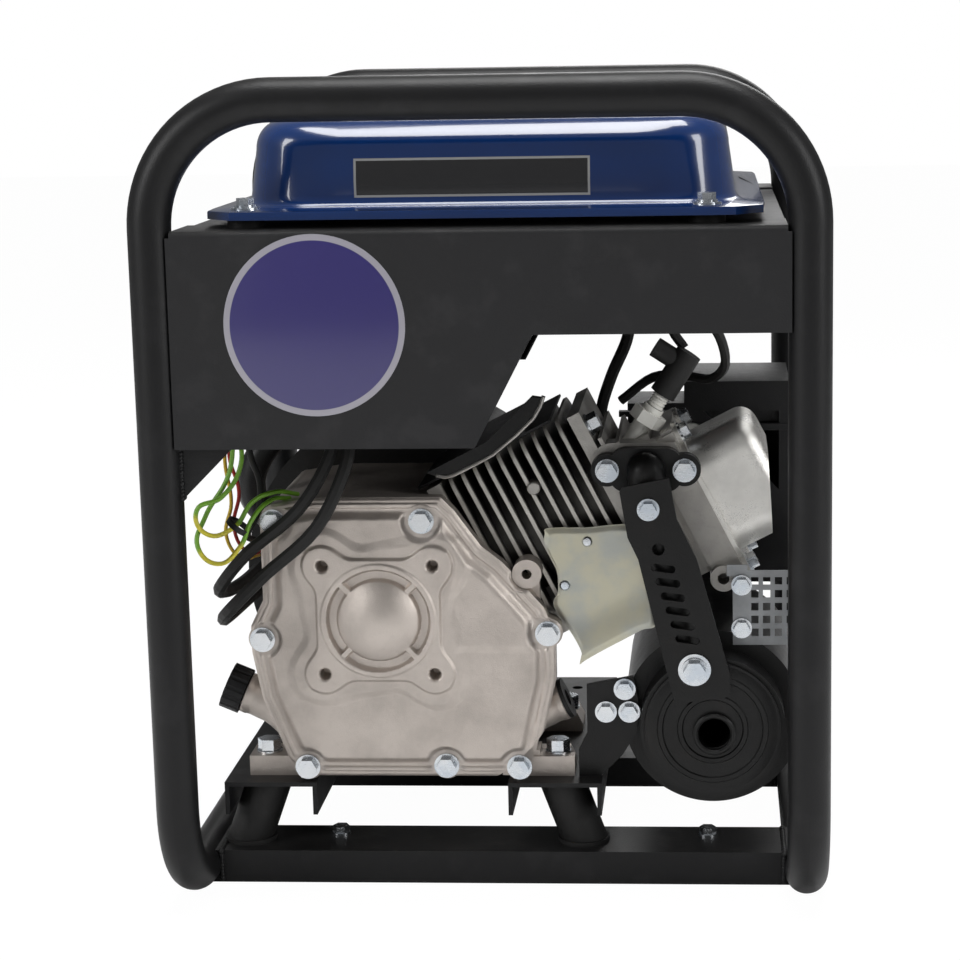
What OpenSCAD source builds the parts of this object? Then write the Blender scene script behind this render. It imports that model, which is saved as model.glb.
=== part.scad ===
// Engine driven welder: a tube frame carries a single-cylinder engine with a
// permanent-magnet alternator, a control box with the weld sockets, and a fuel tank on top.
// Millimetres, +Z up, +Y along the crankshaft, origin at the middle of the base.

/* [Frame] */
// Outer length of the frame, along the crankshaft
frame_l = 440; // [420:1:520]
// Outer width of the frame over the legs
frame_w = 445; // [436:1:480]
// Height of the frame over the top tubes
frame_h = 552; // [548:1:620]
// Outer diameter of the frame tube
tube_d = 28; // [26:0.5:30]
// Wall thickness of the frame tube
tube_wall = 1.8; // [1.2:0.1:3]
// Centreline radius of the two top corners of a hoop
corner_r = 80; // [60:1:100]
// Centreline radius of the bend at the foot of each leg
foot_r = 62; // [50:1:70]

/* [Sheet metal] */
// Thickness of the panels
sheet = 1.5; // [1:0.1:2]
// Height of the tank deck
deck_z = 457; // [450:1:460]
// Height of the underside of the control box
box_z = 318; // [316:1:330]
// Height of the lower edge of the shallow half of an end panel
shallow_z = 390; // [370:1:410]

/* [Engine] */
// Crankshaft axis, across the frame
crank_x = -79; // [-84:1:-74]
// Crankshaft axis, height
crank_z = 188.5; // [184:0.5:194]
// Tilt of the cylinder above the horizontal
tilt = 27; // [25:1:29]
// Bore of the cylinder
bore_d = 88; // [80:1:90]
// Stroke of the piston
stroke = 64; // [50:1:64]
// Spacing of the four holes in the crankcase cover pad
pad_pitch = 75; // [70:1:78]
// Number of fins on the cylinder
fin_count = 10; // [6:1:11]

/* [Tank] */
// Width of the tank body
tank_w = 322; // [300:1:326]
// Depth of the tank body
tank_l = 320; // [280:1:326]
// Height of the tank body above its flange
tank_h = 60; // [50:1:64]

/* [Muffler] */
// Radius of the muffler shell
muffler_r = 61; // [54:1:62]
// Radius of the muffler front drum
drum_r = 49; // [44:1:50]

/* [Hidden] */
$fn = 48;
run_gap = 0.05;                       // radial clearance of a running fit

tube_r = tube_d / 2;
hoop_y = frame_l / 2 - tube_r;        // tube centreline of a hoop
leg_x = frame_w / 2 - tube_r;         // tube centreline of a leg
top_z = frame_h - tube_r;             // centreline of a top tube
rail_stub = 44;                       // straight stretch of a hoop behind the foot bend
stub_y = hoop_y - foot_r - rail_stub; // weld between a hoop and a side rail
inner_x = leg_x - tube_r;             // clear half width between the legs

beam_z0 = 1;
beam_z1 = 24;
beam_w = 53;
beam_t = 2.5;
front_beam_y = -117.5;
rear_beam_y = 95.5;

panel_y = frame_l / 2 - 4;            // outer face of an end panel
panel_x = inner_x + 2.7;              // half width of the panel face
flange_x = inner_x - 0.3;             // half width of what lies between the legs
step_x0 = -4;                         // lower end of the slanted step
step_x1 = 34;                         // upper end of the slanted step
flange_y = 56;                        // depth of the top flange of an end panel

control_x = -inner_x - 1;             // outer face of the control panel
control_y = frame_l / 2 - tube_d - 2; // half length of the control panel
socket_y = [-150, -92];
socket_z = 352;
knob_y = -121;
knob_z = 414;
meter_y = -42;
meter_z = 404;
switch_y = 22;
switch_z = 410;
breaker_z = 352;
outlet_y = [78, 140];
outlet_z = 396;
earth_y = -42;
earth_z = 348;

tank_x = 2;
tank_z = 468;                         // top face of the tank flange
tank_flange_w = 358;
tank_flange_l = 404;
tank_bolt_x = 148;
tank_bolt_mid = -4;                   // the tank bolts sit off the middle of the tank
tank_bolt_y = 178;
cap_x = 60;
cap_y = 50;
tap_x = 90;
tap_y = -30;

cover_y = -140;                       // front face of the cover flange
case_y = -128;                        // joint between the cover and the crankcase
case_back = 8;                        // rear face of the crankcase
cyl_y = -60;                          // cylinder axis along the crankshaft
cyl_s0 = 66;                          // cylinder foot, from the crankshaft axis
cyl_s1 = 174;                         // cylinder top
head_s1 = 232;                        // joint between the head and the rocker cover
bore_r = bore_d / 2;
barrel_r = bore_r + 6;
fin_y = 58;                           // half width of the fins along the crankshaft
journal_r = 17.5;
web_r = 50;
piston_s = 78;                        // piston pin at the bottom of the stroke
cover_bolt = [[-71, 67], [30, 67], [-81, -15], [114, -11], [-53, -105], [43, -104], [93, -105]];

neck_y = -116;
neck_tilt = 23;
neck_left = [-150, 118];
neck_right = [16, 113];
neck_len = 30;
neck_r = 14;
neck_bore = 10;

muffler_x = 146;
muffler_z = 113;
drum_y0 = -148;
shell_y0 = -118;
shell_y1 = 40;
strap_y = -152;
strap_top = [104, 265];               // upper bolt of the muffler strap
strap_low = [134, 155.5];             // lower bolt of the muffler strap
elbow_y = -133;
elbow_lean = 169;                     // lean of the pipe from the elbow down to the muffler
port_x = 102;
port_z = 287;
port_pitch = 52;
port_y = -118.5;                      // joint between the elbow flange and the head

channel_z = 73;                       // top of the engine mount channels
channel_w = 64;
channel_x = [-158, 38];
channel_y0 = -144;
channel_y1 = 126;
isolator_tilt = 20;

stator_r = 92;
rotor_r = 105;
housing_r = 119;
recoil_y = 120;
recoil_depth = 54;

// ---------- shared shapes ----------
module along_y(y0, y1) {              // a flat outline in X and Z made solid from y0 to y1
  translate([0, y1, 0]) rotate([90, 0, 0]) linear_extrude(height = y1 - y0) children();
}
module rod_y(r, y0, y1) {
  translate([0, y0, 0]) rotate([-90, 0, 0]) cylinder(r = r, h = y1 - y0);
}
module rod_x(r, x0, x1) {
  translate([x0, 0, 0]) rotate([0, 90, 0]) cylinder(r = r, h = x1 - x0);
}
module at_crank() { translate([crank_x, 0, crank_z]) children(); }
module tilted() { at_crank() rotate([0, -tilt, 0]) children(); }
module both_x() { children(); mirror([1, 0, 0]) children(); }
module both_y() { children(); mirror([0, 1, 0]) children(); }
module tube(h) {
  difference() {
    cylinder(r = tube_r, h = h);
    translate([0, 0, -1]) cylinder(r = tube_r - tube_wall, h = h + 2);
  }
}
module tube_bend(r) {
  rotate_extrude(angle = 90) translate([r, 0]) difference() {
    circle(r = tube_r);
    circle(r = tube_r - tube_wall);
  }
}
module round_rect(w, h, r) {
  square([w - 2 * r, h], center = true);
  square([w, h - 2 * r], center = true);
  for (x = [-1, 1], y = [-1, 1]) translate([x * (w / 2 - r), y * (h / 2 - r)]) circle(r = r);
}
// Flange bolt head, pointing along +Z: the flange, then the hexagon
module flange_head(size, flange_r, head_h) {
  cylinder(r = flange_r, h = 1.6);
  translate([0, 0, 1.5]) cylinder(d = size / cos(30), h = head_h, $fn = 6);
}
module front_bolt(shank_r, shank, size, flange_r, head_h) {  // head towards -Y, face at y = 0
  rotate([90, 0, 0]) flange_head(size, flange_r, head_h);
  rod_y(shank_r, 0, shank);
}
// Half of a rounded-top outline, from the middle out to r
module post_outline(r, h, re) {
  intersection() {
    union() {
      square([r, h - re]);
      square([r - re, h]);
      translate([r - re, h - re]) circle(r = re);
    }
    square([r, h]);
  }
}
module slab_outline(w, h, re) {
  translate([-w / 2, 0]) square([w, h - re]);
  translate([-w / 2 + re, 0]) square([w - 2 * re, h]);
  for (x = [-1, 1]) translate([x * (w / 2 - re), h - re]) circle(r = re);
}
// Box with rounded upright corners (radius rc) and rounded top edges (radius re)
module soft_box(w, l, h, rc, re) {
  along_y(-l / 2 + rc, l / 2 - rc) slab_outline(w, h, re);
  rotate([0, 0, 90]) along_y(-w / 2 + rc, w / 2 - rc) slab_outline(l, h, re);
  for (x = [-1, 1], y = [-1, 1]) translate([x * (w / 2 - rc), y * (l / 2 - rc), 0])
    rotate_extrude() post_outline(rc, h, re);
}
// Smooth curve through hand-set points, and a tube swept along it
function curve(a, b, c, d, t) = 0.5 * (2 * b + (c - a) * t
  + (2 * a - 5 * b + 4 * c - d) * t * t + (3 * b - a - 3 * c + d) * t * t * t);
function smooth(p, n) = let (m = len(p) - 1) [for (i = [0 : m - 1], k = [0 : n - 1])
  let (b = p[i], c = p[i + 1], a = i > 0 ? p[i - 1] : 2 * b - c,
    d = i < m - 1 ? p[i + 2] : 2 * c - b) curve(a, b, c, d, k / n), p[m]];
function unit(v) = v / norm(v);
function turned(u, t) = unit(u - t * (u * t));
function frames(p, i, u) = i >= len(p) ? [] : let (t = unit(p[min(i + 1, len(p) - 1)] - p[max(i - 1, 0)]),
  w = turned(u, t)) concat([[w, cross(t, w)]], frames(p, i + 1, w));
module cord(points, r, n = 5, sides = 8) {
  p = smooth(points, n);
  f = frames(p, 0, [0.31, 0.47, 0.83]);
  m = len(p);
  ring = [for (i = [0 : m - 1], k = [0 : sides - 1])
    p[i] + r * (cos(360 * k / sides) * f[i][0] + sin(360 * k / sides) * f[i][1])];
  wall = [for (i = [0 : m - 2], k = [0 : sides - 1]) let (j = (k + 1) % sides)
    [i * sides + k, (i + 1) * sides + k, (i + 1) * sides + j, i * sides + j]];
  polyhedron(ring, concat(wall, [[for (k = [0 : sides - 1]) k]],
    [[for (k = [sides - 1 : -1 : 0]) (m - 1) * sides + k]]));
}

// ---------- frame ----------
module hoop() {
  both_x() {
    translate([leg_x, -hoop_y, foot_r + tube_r]) tube(top_z - corner_r - foot_r - tube_r);
    translate([leg_x - corner_r, -hoop_y, top_z - corner_r]) rotate([90, 0, 0]) tube_bend(corner_r);
    translate([leg_x, -hoop_y + foot_r, foot_r + tube_r]) rotate([90, 0, 90]) rotate([0, 0, 180])
      tube_bend(foot_r);
    translate([leg_x, -hoop_y + foot_r, tube_r]) rotate([-90, 0, 0]) tube(rail_stub);
  }
  translate([-leg_x + corner_r, -hoop_y, top_z]) rotate([0, 90, 0]) tube(2 * (leg_x - corner_r));
}
module front_hoop() { color("#1c1c1e") hoop(); }
module rear_hoop() { color("#1c1c1e") mirror([0, 1, 0]) hoop(); }
module side_rails() {
  color("#1c1c1e") both_x() translate([leg_x, -stub_y, tube_r]) rotate([-90, 0, 0]) tube(2 * stub_y);
}
module cross_beam(y, bolts) {
  difference() {
    translate([-leg_x, y - beam_w / 2, beam_z0]) cube([2 * leg_x, beam_w, beam_z1 - beam_z0]);
    translate([-leg_x - 1, y - beam_w / 2 + beam_t, beam_z0 - 1])
      cube([2 * leg_x + 2, beam_w - 2 * beam_t, beam_z1 - beam_z0 + 1 - beam_t]);
    both_x() translate([leg_x, 0, tube_r]) rod_y(tube_r, y - beam_w, y + beam_w);
    both_x() translate([leg_x - 7, y - beam_w, -1]) cube([20, 2 * beam_w, 40]);
    for (x = bolts) translate([x, y, beam_z0]) cylinder(r = 4.2, h = 30);
  }
}
isolator_x = [channel_x[0] - 20, channel_x[1] + 18];
module cross_beams() {
  color("#1c1c1e") for (y = [front_beam_y, rear_beam_y]) cross_beam(y, isolator_x);
}
module panel_gussets() {
  color("#1c1c1e") both_y() along_y(-hoop_y - 2, -hoop_y + 2)
    polygon([[-inner_x, box_z - 0.1], [-inner_x + 34, box_z - 0.1], [-inner_x, box_z - 34]]);
}

// ---------- sheet metal ----------
module panel_outline(in, half) {
  slant = 0.603 * in;
  polygon([[-half + in, deck_z - in], [half - in, deck_z - in], [half - in, shallow_z + in],
    [step_x1 - slant, shallow_z + in], [step_x0 - slant, box_z + in], [-half + in, box_z + in]]);
}
module end_panel() {
  fold = 4;
  difference() {
    union() {
      along_y(-panel_y, -panel_y + sheet) panel_outline(0, panel_x - 0.5);
      difference() {
        along_y(-panel_y, -panel_y + 14) panel_outline(0, flange_x);
        along_y(-panel_y + sheet, -panel_y + 15) panel_outline(sheet, flange_x);
      }
      translate([-flange_x, -panel_y, deck_z - sheet]) cube([2 * flange_x, flange_y, sheet]);
    }
    translate([-frame_w / 2, -panel_y - 1, deck_z - fold]) cube([frame_w, fold + 1, fold + 1]);
    for (x = [-1, 1]) translate([tank_bolt_mid + x * tank_bolt_x, -tank_bolt_y, deck_z - 5]) cylinder(r = 3.4, h = 10);
  }
  translate([0, -panel_y + fold, deck_z - fold]) difference() {
    rod_x(fold, -flange_x, flange_x);
    rod_x(fold - sheet, -flange_x - 1, flange_x + 1);
    translate([-frame_w / 2, 0, -fold - 1]) cube([frame_w, fold + 1, 2 * fold + 2]);
    translate([-frame_w / 2, -fold - 1, -fold - 1]) cube([frame_w, 2 * fold + 2, fold + 1]);
  }
}
module front_end_panel() { color("#202226") end_panel(); }
module rear_end_panel() { color("#202226") mirror([0, 1, 0]) end_panel(); }
deck_t = 2;
deck_top = deck_z - sheet;
module tank_deck() {
  color("#202226") difference() {
    translate([-flange_x, -panel_y + 15, deck_top - deck_t])
      cube([2 * flange_x, 2 * panel_y - 30, deck_t]);
    translate([tap_x, tap_y, deck_top - 5]) cylinder(r = 14, h = 10);
    for (x = [-1, 1], y = [-1, 1])
      translate([tank_bolt_mid + x * tank_bolt_x, y * tank_bolt_y, deck_top - 5]) cylinder(r = 3.4, h = 10);
  }
}
module control_box() {
  color("#202226") {
    difference() {
      translate([-flange_x, -panel_y + 15, box_z + sheet]) cube([step_x0 + flange_x - 6, 2 * panel_y - 30, sheet]);
      translate([-100, -150, box_z]) cylinder(r = 16, h = 10);
      translate([-172, -148, box_z]) cylinder(r = 6, h = 10);
    }
    translate([step_x0 - 6 - sheet, -panel_y + 15, box_z + 2 * sheet])
      cube([sheet, 2 * panel_y - 30, deck_top - deck_t - box_z - 2 * sheet]);
  }
}
control_z0 = box_z + 2 * sheet;
control_z1 = deck_top - deck_t;
module control_panel() {
  color("#202226") difference() {
    translate([control_x, -control_y, control_z0]) cube([sheet, 2 * control_y, control_z1 - control_z0]);
    for (y = socket_y) translate([0, y, socket_z]) rod_x(15, control_x - 1, control_x + 5);
    translate([0, knob_y, knob_z]) rod_x(5, control_x - 1, control_x + 5);
    translate([control_x - 1, meter_y - 24, meter_z - 16]) cube([5, 48, 32]);
    translate([control_x - 1, switch_y - 14, switch_z - 11]) cube([5, 28, 22]);
    translate([0, switch_y, breaker_z]) rod_x(8, control_x - 1, control_x + 5);
    for (y = outlet_y) translate([0, y, outlet_z]) rod_x(22, control_x - 1, control_x + 5);
    translate([0, earth_y, earth_z]) rod_x(4.2, control_x - 1, control_x + 5);
  }
}
// Weld output sockets: insulated collar, brass cup with the cable plug bore
socket_bore = 6.5;
module weld_socket() {
  difference() {
    union() {
      rod_x(19, control_x - 4, control_x);
      rod_x(17, control_x - 12, control_x - 4);
      rod_x(14.7, control_x, control_x + 16);
    }
    rod_x(socket_bore, control_x - 14, control_x + 12);
    translate([control_x - 14, -2, socket_bore - 1]) cube([8, 4, 5]);
  }
}
module weld_sockets() { color("#17181a") for (y = socket_y) translate([0, y, socket_z]) weld_socket(); }
module current_knob() {
  color("#17181a") translate([0, knob_y, knob_z]) difference() {
    union() {
      rod_x(19, control_x - 17, control_x - 3);
      rod_x(21, control_x - 3, control_x - 0.4);
      rod_x(4.9, control_x - 3, control_x + 8);
    }
    for (k = [0 : 11]) rotate([30 * k, 0, 0]) translate([0, 21.5, 0]) rod_x(3.2, control_x - 18, control_x - 3.6);
    translate([control_x - 18, -1, 8]) cube([2, 2, 12]);
  }
}
module ac_outlets() {
  color("#2c2d30") for (y = outlet_y) translate([0, y, outlet_z]) difference() {
    union() {
      translate([control_x - 4, 0, 0]) rotate([0, 90, 0]) linear_extrude(height = 4) round_rect(52, 52, 6);
      rod_x(21.7, control_x, control_x + 22);
    }
    rod_x(19.5, control_x - 5, control_x + 12);
    for (z = [-9.5, 9.5]) translate([0, z, 0]) rod_x(2.6, control_x - 1, control_x + 20);
  }
}
module switch_bodies() {
  color("#17181a") {
    translate([0, switch_y, switch_z]) difference() {
      union() {
        translate([control_x - 2, -17, -14]) cube([2, 34, 28]);
        translate([control_x, -13.7, -10.7]) cube([20, 27.4, 21.4]);
      }
      translate([control_x - 3, -12, -9]) cube([14, 24, 18]);
    }
    translate([0, switch_y, breaker_z]) difference() {
      union() {
        rod_x(11, control_x - 4, control_x);
        rod_x(7.8, control_x, control_x + 20);
      }
      rod_x(5.05, control_x - 5, control_x + 14);
    }
  }
}
module breaker_button() {
  color("#e8e8e4") translate([0, switch_y, breaker_z]) rod_x(5, control_x - 7, control_x + 8);
}
module engine_switch() {
  color("#b3201c") translate([0, switch_y, switch_z]) intersection() {
    translate([control_x + 1, 0, 0]) rotate([90, 0, 0]) translate([0, 0, -8]) cylinder(r = 8.6, h = 16);
    translate([control_x - 6, -8, -9]) cube([12, 16, 18]);
  }
}
module output_meter() {
  color("#17181a") translate([0, meter_y, meter_z]) difference() {
    union() {
      translate([control_x - 5, -29, -21]) cube([5, 58, 42]);
      translate([control_x, -23.7, -15.7]) cube([26, 47.4, 31.4]);
    }
    translate([control_x - 6, -25, -12]) cube([2.5, 50, 28]);
  }
}
module earth_terminal() {
  color("#b9974f") translate([0, earth_y, earth_z]) {
    rod_x(3, control_x - 20, control_x + 14);
    rod_x(8, control_x - 1.6, control_x);
    translate([control_x - 8.1, 0, 0]) rotate([0, 90, 0]) cylinder(d = 15, h = 6.5, $fn = 6);
    translate([control_x + sheet, 0, 0]) rotate([0, 90, 0]) cylinder(d = 13, h = 5, $fn = 6);
  }
}
module inverter_module() {
  color("#9aa0a6") {
    translate([-150, -60, box_z + 2 * sheet]) cube([110, 210, 5]);
    for (k = [0 : 13]) translate([-150 + 8 * k, -60, box_z + 2 * sheet + 5]) cube([2.2, 210, 26]);
    translate([-146, -56, box_z + 2 * sheet + 31]) cube([102, 202, 58]);
  }
}

// ---------- tank ----------
module tank_flange_outline(in) {
  w = tank_flange_w / 2 - in;
  l = tank_flange_l / 2 - in;
  c = 20 - 0.59 * in;
  polygon([[-w + c, -l], [w - c, -l], [w, -l + c], [w, l - c], [w - c, l], [-w + c, l], [-w, l - c], [-w, -l + c]]);
}
module tank_bolt_places() {
  for (x = [-1, 1], y = [-1, 1]) translate([tank_bolt_mid + x * tank_bolt_x, y * tank_bolt_y, 0]) children();
}
module fuel_tank() {
  skin = 1.4;
  color("#17399c") difference() {
    union() {
      translate([tank_x, 0, tank_z - 5.5]) linear_extrude(height = 5.5) tank_flange_outline(0);
      translate([tank_x, 0, tank_z - 1]) soft_box(tank_w, tank_l, tank_h + 1, 42, 16);
      translate([cap_x, cap_y, tank_z + tank_h - 5]) cylinder(r = 24, h = 9);
    }
    translate([tank_x, 0, tank_z - 6.5]) linear_extrude(height = 5) tank_flange_outline(skin);
    translate([tank_x, 0, tank_z - 3])
      soft_box(tank_w - 2 * skin, tank_l - 2 * skin, tank_h + 3 - skin, 42 - skin, 16 - skin);
    translate([cap_x, cap_y, tank_z + tank_h - 6]) cylinder(r = 22, h = 20);
    tank_bolt_places() translate([0, 0, tank_z - 10]) cylinder(r = 3.4, h = 20);
  }
  // bottom pan, folded inside the flange
  color("#17399c") difference() {
    translate([tank_x, 0, tank_z - 1.5 - skin]) linear_extrude(height = skin)
      round_rect(tank_w + 16, tank_l + 6, 42);
    translate([tap_x, tap_y, tank_z - 5]) cylinder(r = 4.95, h = 10);
    tank_bolt_places() translate([0, 0, tank_z - 10]) cylinder(r = 3.4, h = 20);
  }
}
module fuel_cap() {
  color("#17181a") translate([cap_x, cap_y, tank_z + tank_h]) difference() {
    union() {
      translate([0, 0, 4.4]) cylinder(r = 29, h = 11);
      translate([0, 0, 1]) difference() {
        cylinder(r = 29, h = 4);
        translate([0, 0, -1]) cylinder(r = 25, h = 6);
      }
      translate([0, 0, -4]) cylinder(r = 21.95, h = 9);
    }
    for (k = [0 : 15]) rotate([0, 0, 22.5 * k]) translate([30.6, 0, 0]) cylinder(r = 3, h = 20);
  }
}
module tank_fixings() {
  color("#c9cbcd") tank_bolt_places() translate([0, 0, tank_z]) {
    cylinder(r = 9.5, h = 1.4);
    translate([0, 0, 1.4]) flange_head(10, 7, 4.5);
    translate([0, 0, -16]) cylinder(r = 3, h = 17);
  }
}
module tank_bushes() {
  color("#141414") tank_bolt_places() translate([0, 0, deck_z]) difference() {
    cylinder(r = 12, h = tank_z - deck_z - 1.6);
    translate([0, 0, -1]) cylinder(r = 3.3, h = 20);
  }
}
module fuel_tap() {
  color("#8f8f8b") translate([tap_x, tap_y, 0]) difference() {
    union() {
      translate([0, 0, tank_z - 1.5]) cylinder(r = 9, h = 3);
      translate([0, 0, 440]) cylinder(r = 4.9, h = tank_z - 440);
      translate([0, 0, 418]) cylinder(r = 10, h = 22);
      translate([0, 0, 400]) cylinder(r = 3.9, h = 19);
      translate([0, 0, 429]) rod_y(7, -17, 0);
    }
    translate([0, 0, 429]) rod_y(3.05, -18, -4);
  }
}
module fuel_tap_lever() {
  color("#b3201c") translate([tap_x, tap_y, 429]) {
    rod_y(3, -24, -6);
    rod_y(7, -22, -17.4);
    translate([-3, -22, -26]) cube([6, 4.6, 26]);
  }
}
hose_points = [[90, -30, 399.6], [90, -26, 385], [86, -6, 360], [74, 8, 332], [66, 14, 306], [68, 19, 288],
  [76, 20, 284], [83.6, 20, 284]];
module fuel_hose() { color("#141414") cord(hose_points, 4.5); }

// ---------- engine ----------
case_points = [[-73, 78], [-44, 83], [43, 83], [52, 74], [70, 49], [84, 38], [112, 6], [119, -14], [119, -44], [115, -60],
  [106, -100], [99, -112], [-54, -112], [-66, -100], [-83, -56], [-89, -24], [-89, -6], [-80, 12], [-80, 68]];
module case_outline(in) {             // brought in towards the crankshaft by about in
  at = [crank_x, crank_z];
  translate(at) polygon([for (p = case_points) p - in * 1.15 * unit(p)]);
  for (b = cover_bolt) translate(at + b) circle(r = 10 - in / 2);
}
module pad_holes(y0, y1, r) {
  for (x = [-1, 1], z = [-1, 1])
    translate([crank_x + x * pad_pitch / 2, 0, crank_z + z * pad_pitch / 2]) rod_y(r, y0, y1);
}
module oil_neck(side, at, r, s0, s1) {
  translate([at[0], neck_y, at[1]]) rotate([0, side * (90 - neck_tilt), 0]) translate([0, 0, s0])
    cylinder(r = r, h = s1 - s0);
}
pad_y = cover_y - 9;
module crankcase_cover() {
  color("#b3aea6") difference() {
    union() {
      along_y(cover_y, case_y) case_outline(0);
      // raised plateau round the pad
      along_y(cover_y - 4, cover_y) translate([crank_x, crank_z]) {
        round_rect(112, 112, 26);
        translate([30, -44]) round_rect(90, 50, 20);
        translate([-10, -60]) circle(r = 34);
      }
      // four-lobed machined pad and ring
      along_y(pad_y, cover_y - 4) translate([crank_x, crank_z]) {
        circle(r = 42);
        for (x = [-1, 1], z = [-1, 1]) translate([x * pad_pitch / 2, z * pad_pitch / 2]) circle(r = 12.5);
        for (a = [45, 135]) rotate(a) square([106, 20], center = true);
      }
      at_crank() rod_y(41, pad_y - 3, pad_y);
      oil_neck(-1, neck_left, neck_r, -18, neck_len);
      oil_neck(1, neck_right, neck_r, -18, neck_len);
    }
    // recess between the ring and the dome
    at_crank() difference() {
      rod_y(36, pad_y - 4, pad_y);
      rod_y(28.5, pad_y - 5, pad_y + 1);
      for (a = [45, 135]) rotate([0, a, 0]) translate([-40, pad_y - 3, -3.5]) cube([80, 4, 7]);
    }
    pad_holes(pad_y - 1, pad_y + 16, 3.4);
    at_crank() rod_y(journal_r + run_gap, cover_y + 2, case_y + 1);
    for (b = cover_bolt) translate([crank_x + b[0], 0, crank_z + b[1]]) rod_y(4.2, cover_y - 1, case_y + 1);
    oil_neck(-1, neck_left, neck_bore, 4, neck_len + 1);
    oil_neck(1, neck_right, neck_bore, 4, neck_len + 1);
    // room for the shoulder boss and for the crankcase behind the joint face
    translate([crank_x + 100, 0, crank_z + 29]) rod_y(10.3, cover_y - 1, case_y + 1);
    along_y(case_y, case_back) case_outline(2.6);
  }
  // domed middle
  color("#b3aea6") at_crank() translate([0, pad_y, 0]) intersection() {
    translate([0, 38, 0]) sphere(r = 47.5, $fn = 64);
    rod_y(28.4, -20, 0);
  }
}
module crankcase() {
  color("#aaa59d") difference() {
    union() {
      along_y(case_y, case_back) case_outline(3);
      // threaded boss on the top right shoulder
      translate([crank_x + 100, 0, crank_z + 29]) rod_y(10, case_y - 8, cyl_y - fin_y);
      translate([crank_x + 70, case_y, crank_z - 8]) cube([38, cyl_y - fin_y - case_y, 34]);
      // feet on the mount channels
      for (x = [-96, 86], y = [case_y + 0.3, case_back - 30])
        translate([crank_x + x, y, channel_z]) cube([44, 30, 14]);
      for (x = [-60, 80], y = [case_y + 2, case_back - 26])
        translate([crank_x + x, y, channel_z]) cube([26, 20, 18]);
    }
    // crank chamber, rear main bearing and the opening to the cylinder
    at_crank() rod_y(web_r + 8, case_y - 1, case_back - 14);
    at_crank() rod_y(journal_r + run_gap, case_y, case_back + 1);
    tilted() translate([0, cyl_y, 0]) rod_x(bore_r + 2, 0, 150);
    tilted() translate([cyl_s0, cyl_y - fin_y, -200]) cube([200, 400, 400]);
    oil_neck(-1, neck_left, neck_bore, 4, neck_len + 1);
    oil_neck(1, neck_right, neck_bore, 4, neck_len + 1);
    translate([crank_x + 100, 0, crank_z + 29]) rod_y(3.4, case_y - 9, cyl_y - fin_y + 1);
    for (b = cover_bolt) translate([crank_x + b[0], 0, crank_z + b[1]]) rod_y(3.95, case_y - 1, case_y + 18);
    for (x = foot_bolt_x, y = foot_bolt_y) translate([x, y, channel_z - 1]) cylinder(r = 5.2, h = 16);
  }
}
foot_bolt_x = [crank_x - 84, crank_x + 118];
foot_bolt_y = [case_y + 12, case_back - 15];
module cover_bolts() {
  color("#c9cbcd") for (b = cover_bolt) translate([crank_x + b[0], cover_y, crank_z + b[1]])
    front_bolt(3.9, 28, 12, 8.6, 6);
}
module cylinder_fin(s) {
  translate([s, cyl_y, 3]) rotate([0, 90, 0]) linear_extrude(height = 2.6) round_rect(118, 2 * fin_y, 12);
}
module cylinder_barrel() {
  pitch = (cyl_s1 - cyl_s0 - 16) / fin_count;
  color("#a8a49c") tilted() difference() {
    union() {
      translate([cyl_s0, cyl_y - fin_y, -52]) cube([10, 2 * fin_y, 112]);
      translate([0, cyl_y, 0]) rod_x(barrel_r, cyl_s0, cyl_s1);
      for (k = [0 : fin_count - 1]) cylinder_fin(cyl_s0 + 16 + k * pitch);
      translate([cyl_s0, cyl_y - 40, -74]) cube([cyl_s1 - cyl_s0, 80, 34]);
    }
    translate([0, cyl_y, 0]) rod_x(bore_r, cyl_s0 - 1, cyl_s1 + 1);
  }
}
module head_casting() {
  tilted() {
    translate([cyl_s1, cyl_y - fin_y, -72]) cube([9, 2 * fin_y, 132]);
    for (k = [0 : 2]) translate([cyl_s1 + 12 + 9 * k, cyl_y - fin_y, -60]) cube([2.8, 2 * fin_y, 98 - 8 * k]);
    translate([cyl_s1 + 8, cyl_y - 46, -80]) cube([34, 92, 104]);
    translate([cyl_s1 + 38, cyl_y - 50, -84]) cube([head_s1 - cyl_s1 - 38, 100, 102]);
    translate([head_s1 - 15, cyl_y, -87]) rod_y(9, -56, 20);
    translate([head_s1 - 8, cyl_y - 47, -93]) cube([8, 94, 113]);
  }
}
module cylinder_head() {
  color("#a8a49c") difference() {
    union() {
      intersection() {
        along_y(port_y, -100) translate([port_x, port_z]) round_rect(74, 34, 14);
        tilted() translate([cyl_s1 + 0.5, -200, -200]) cube([head_s1 - cyl_s1 - 1.5, 400, 400]);
      }
      head_casting();
    }
    tilted() translate([cyl_s1 - 1, cyl_y, 0]) rod_x(bore_r - 4, 0, 12);
    tilted() translate([head_s1 - 15, 0, -87]) rod_y(4, cyl_y - 60, cyl_y - 36);
    plug_place() translate([0, 0, -16]) cylinder(r = 7, h = 30);
    for (x = [-1, 1]) translate([port_x + x * port_pitch / 2, 0, port_z]) rod_y(3.9, -125, -108);
    translate([port_x, 0, port_z]) rod_y(10, -125, -104);
  }
}
rocker_y = cyl_y - 3;
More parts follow.
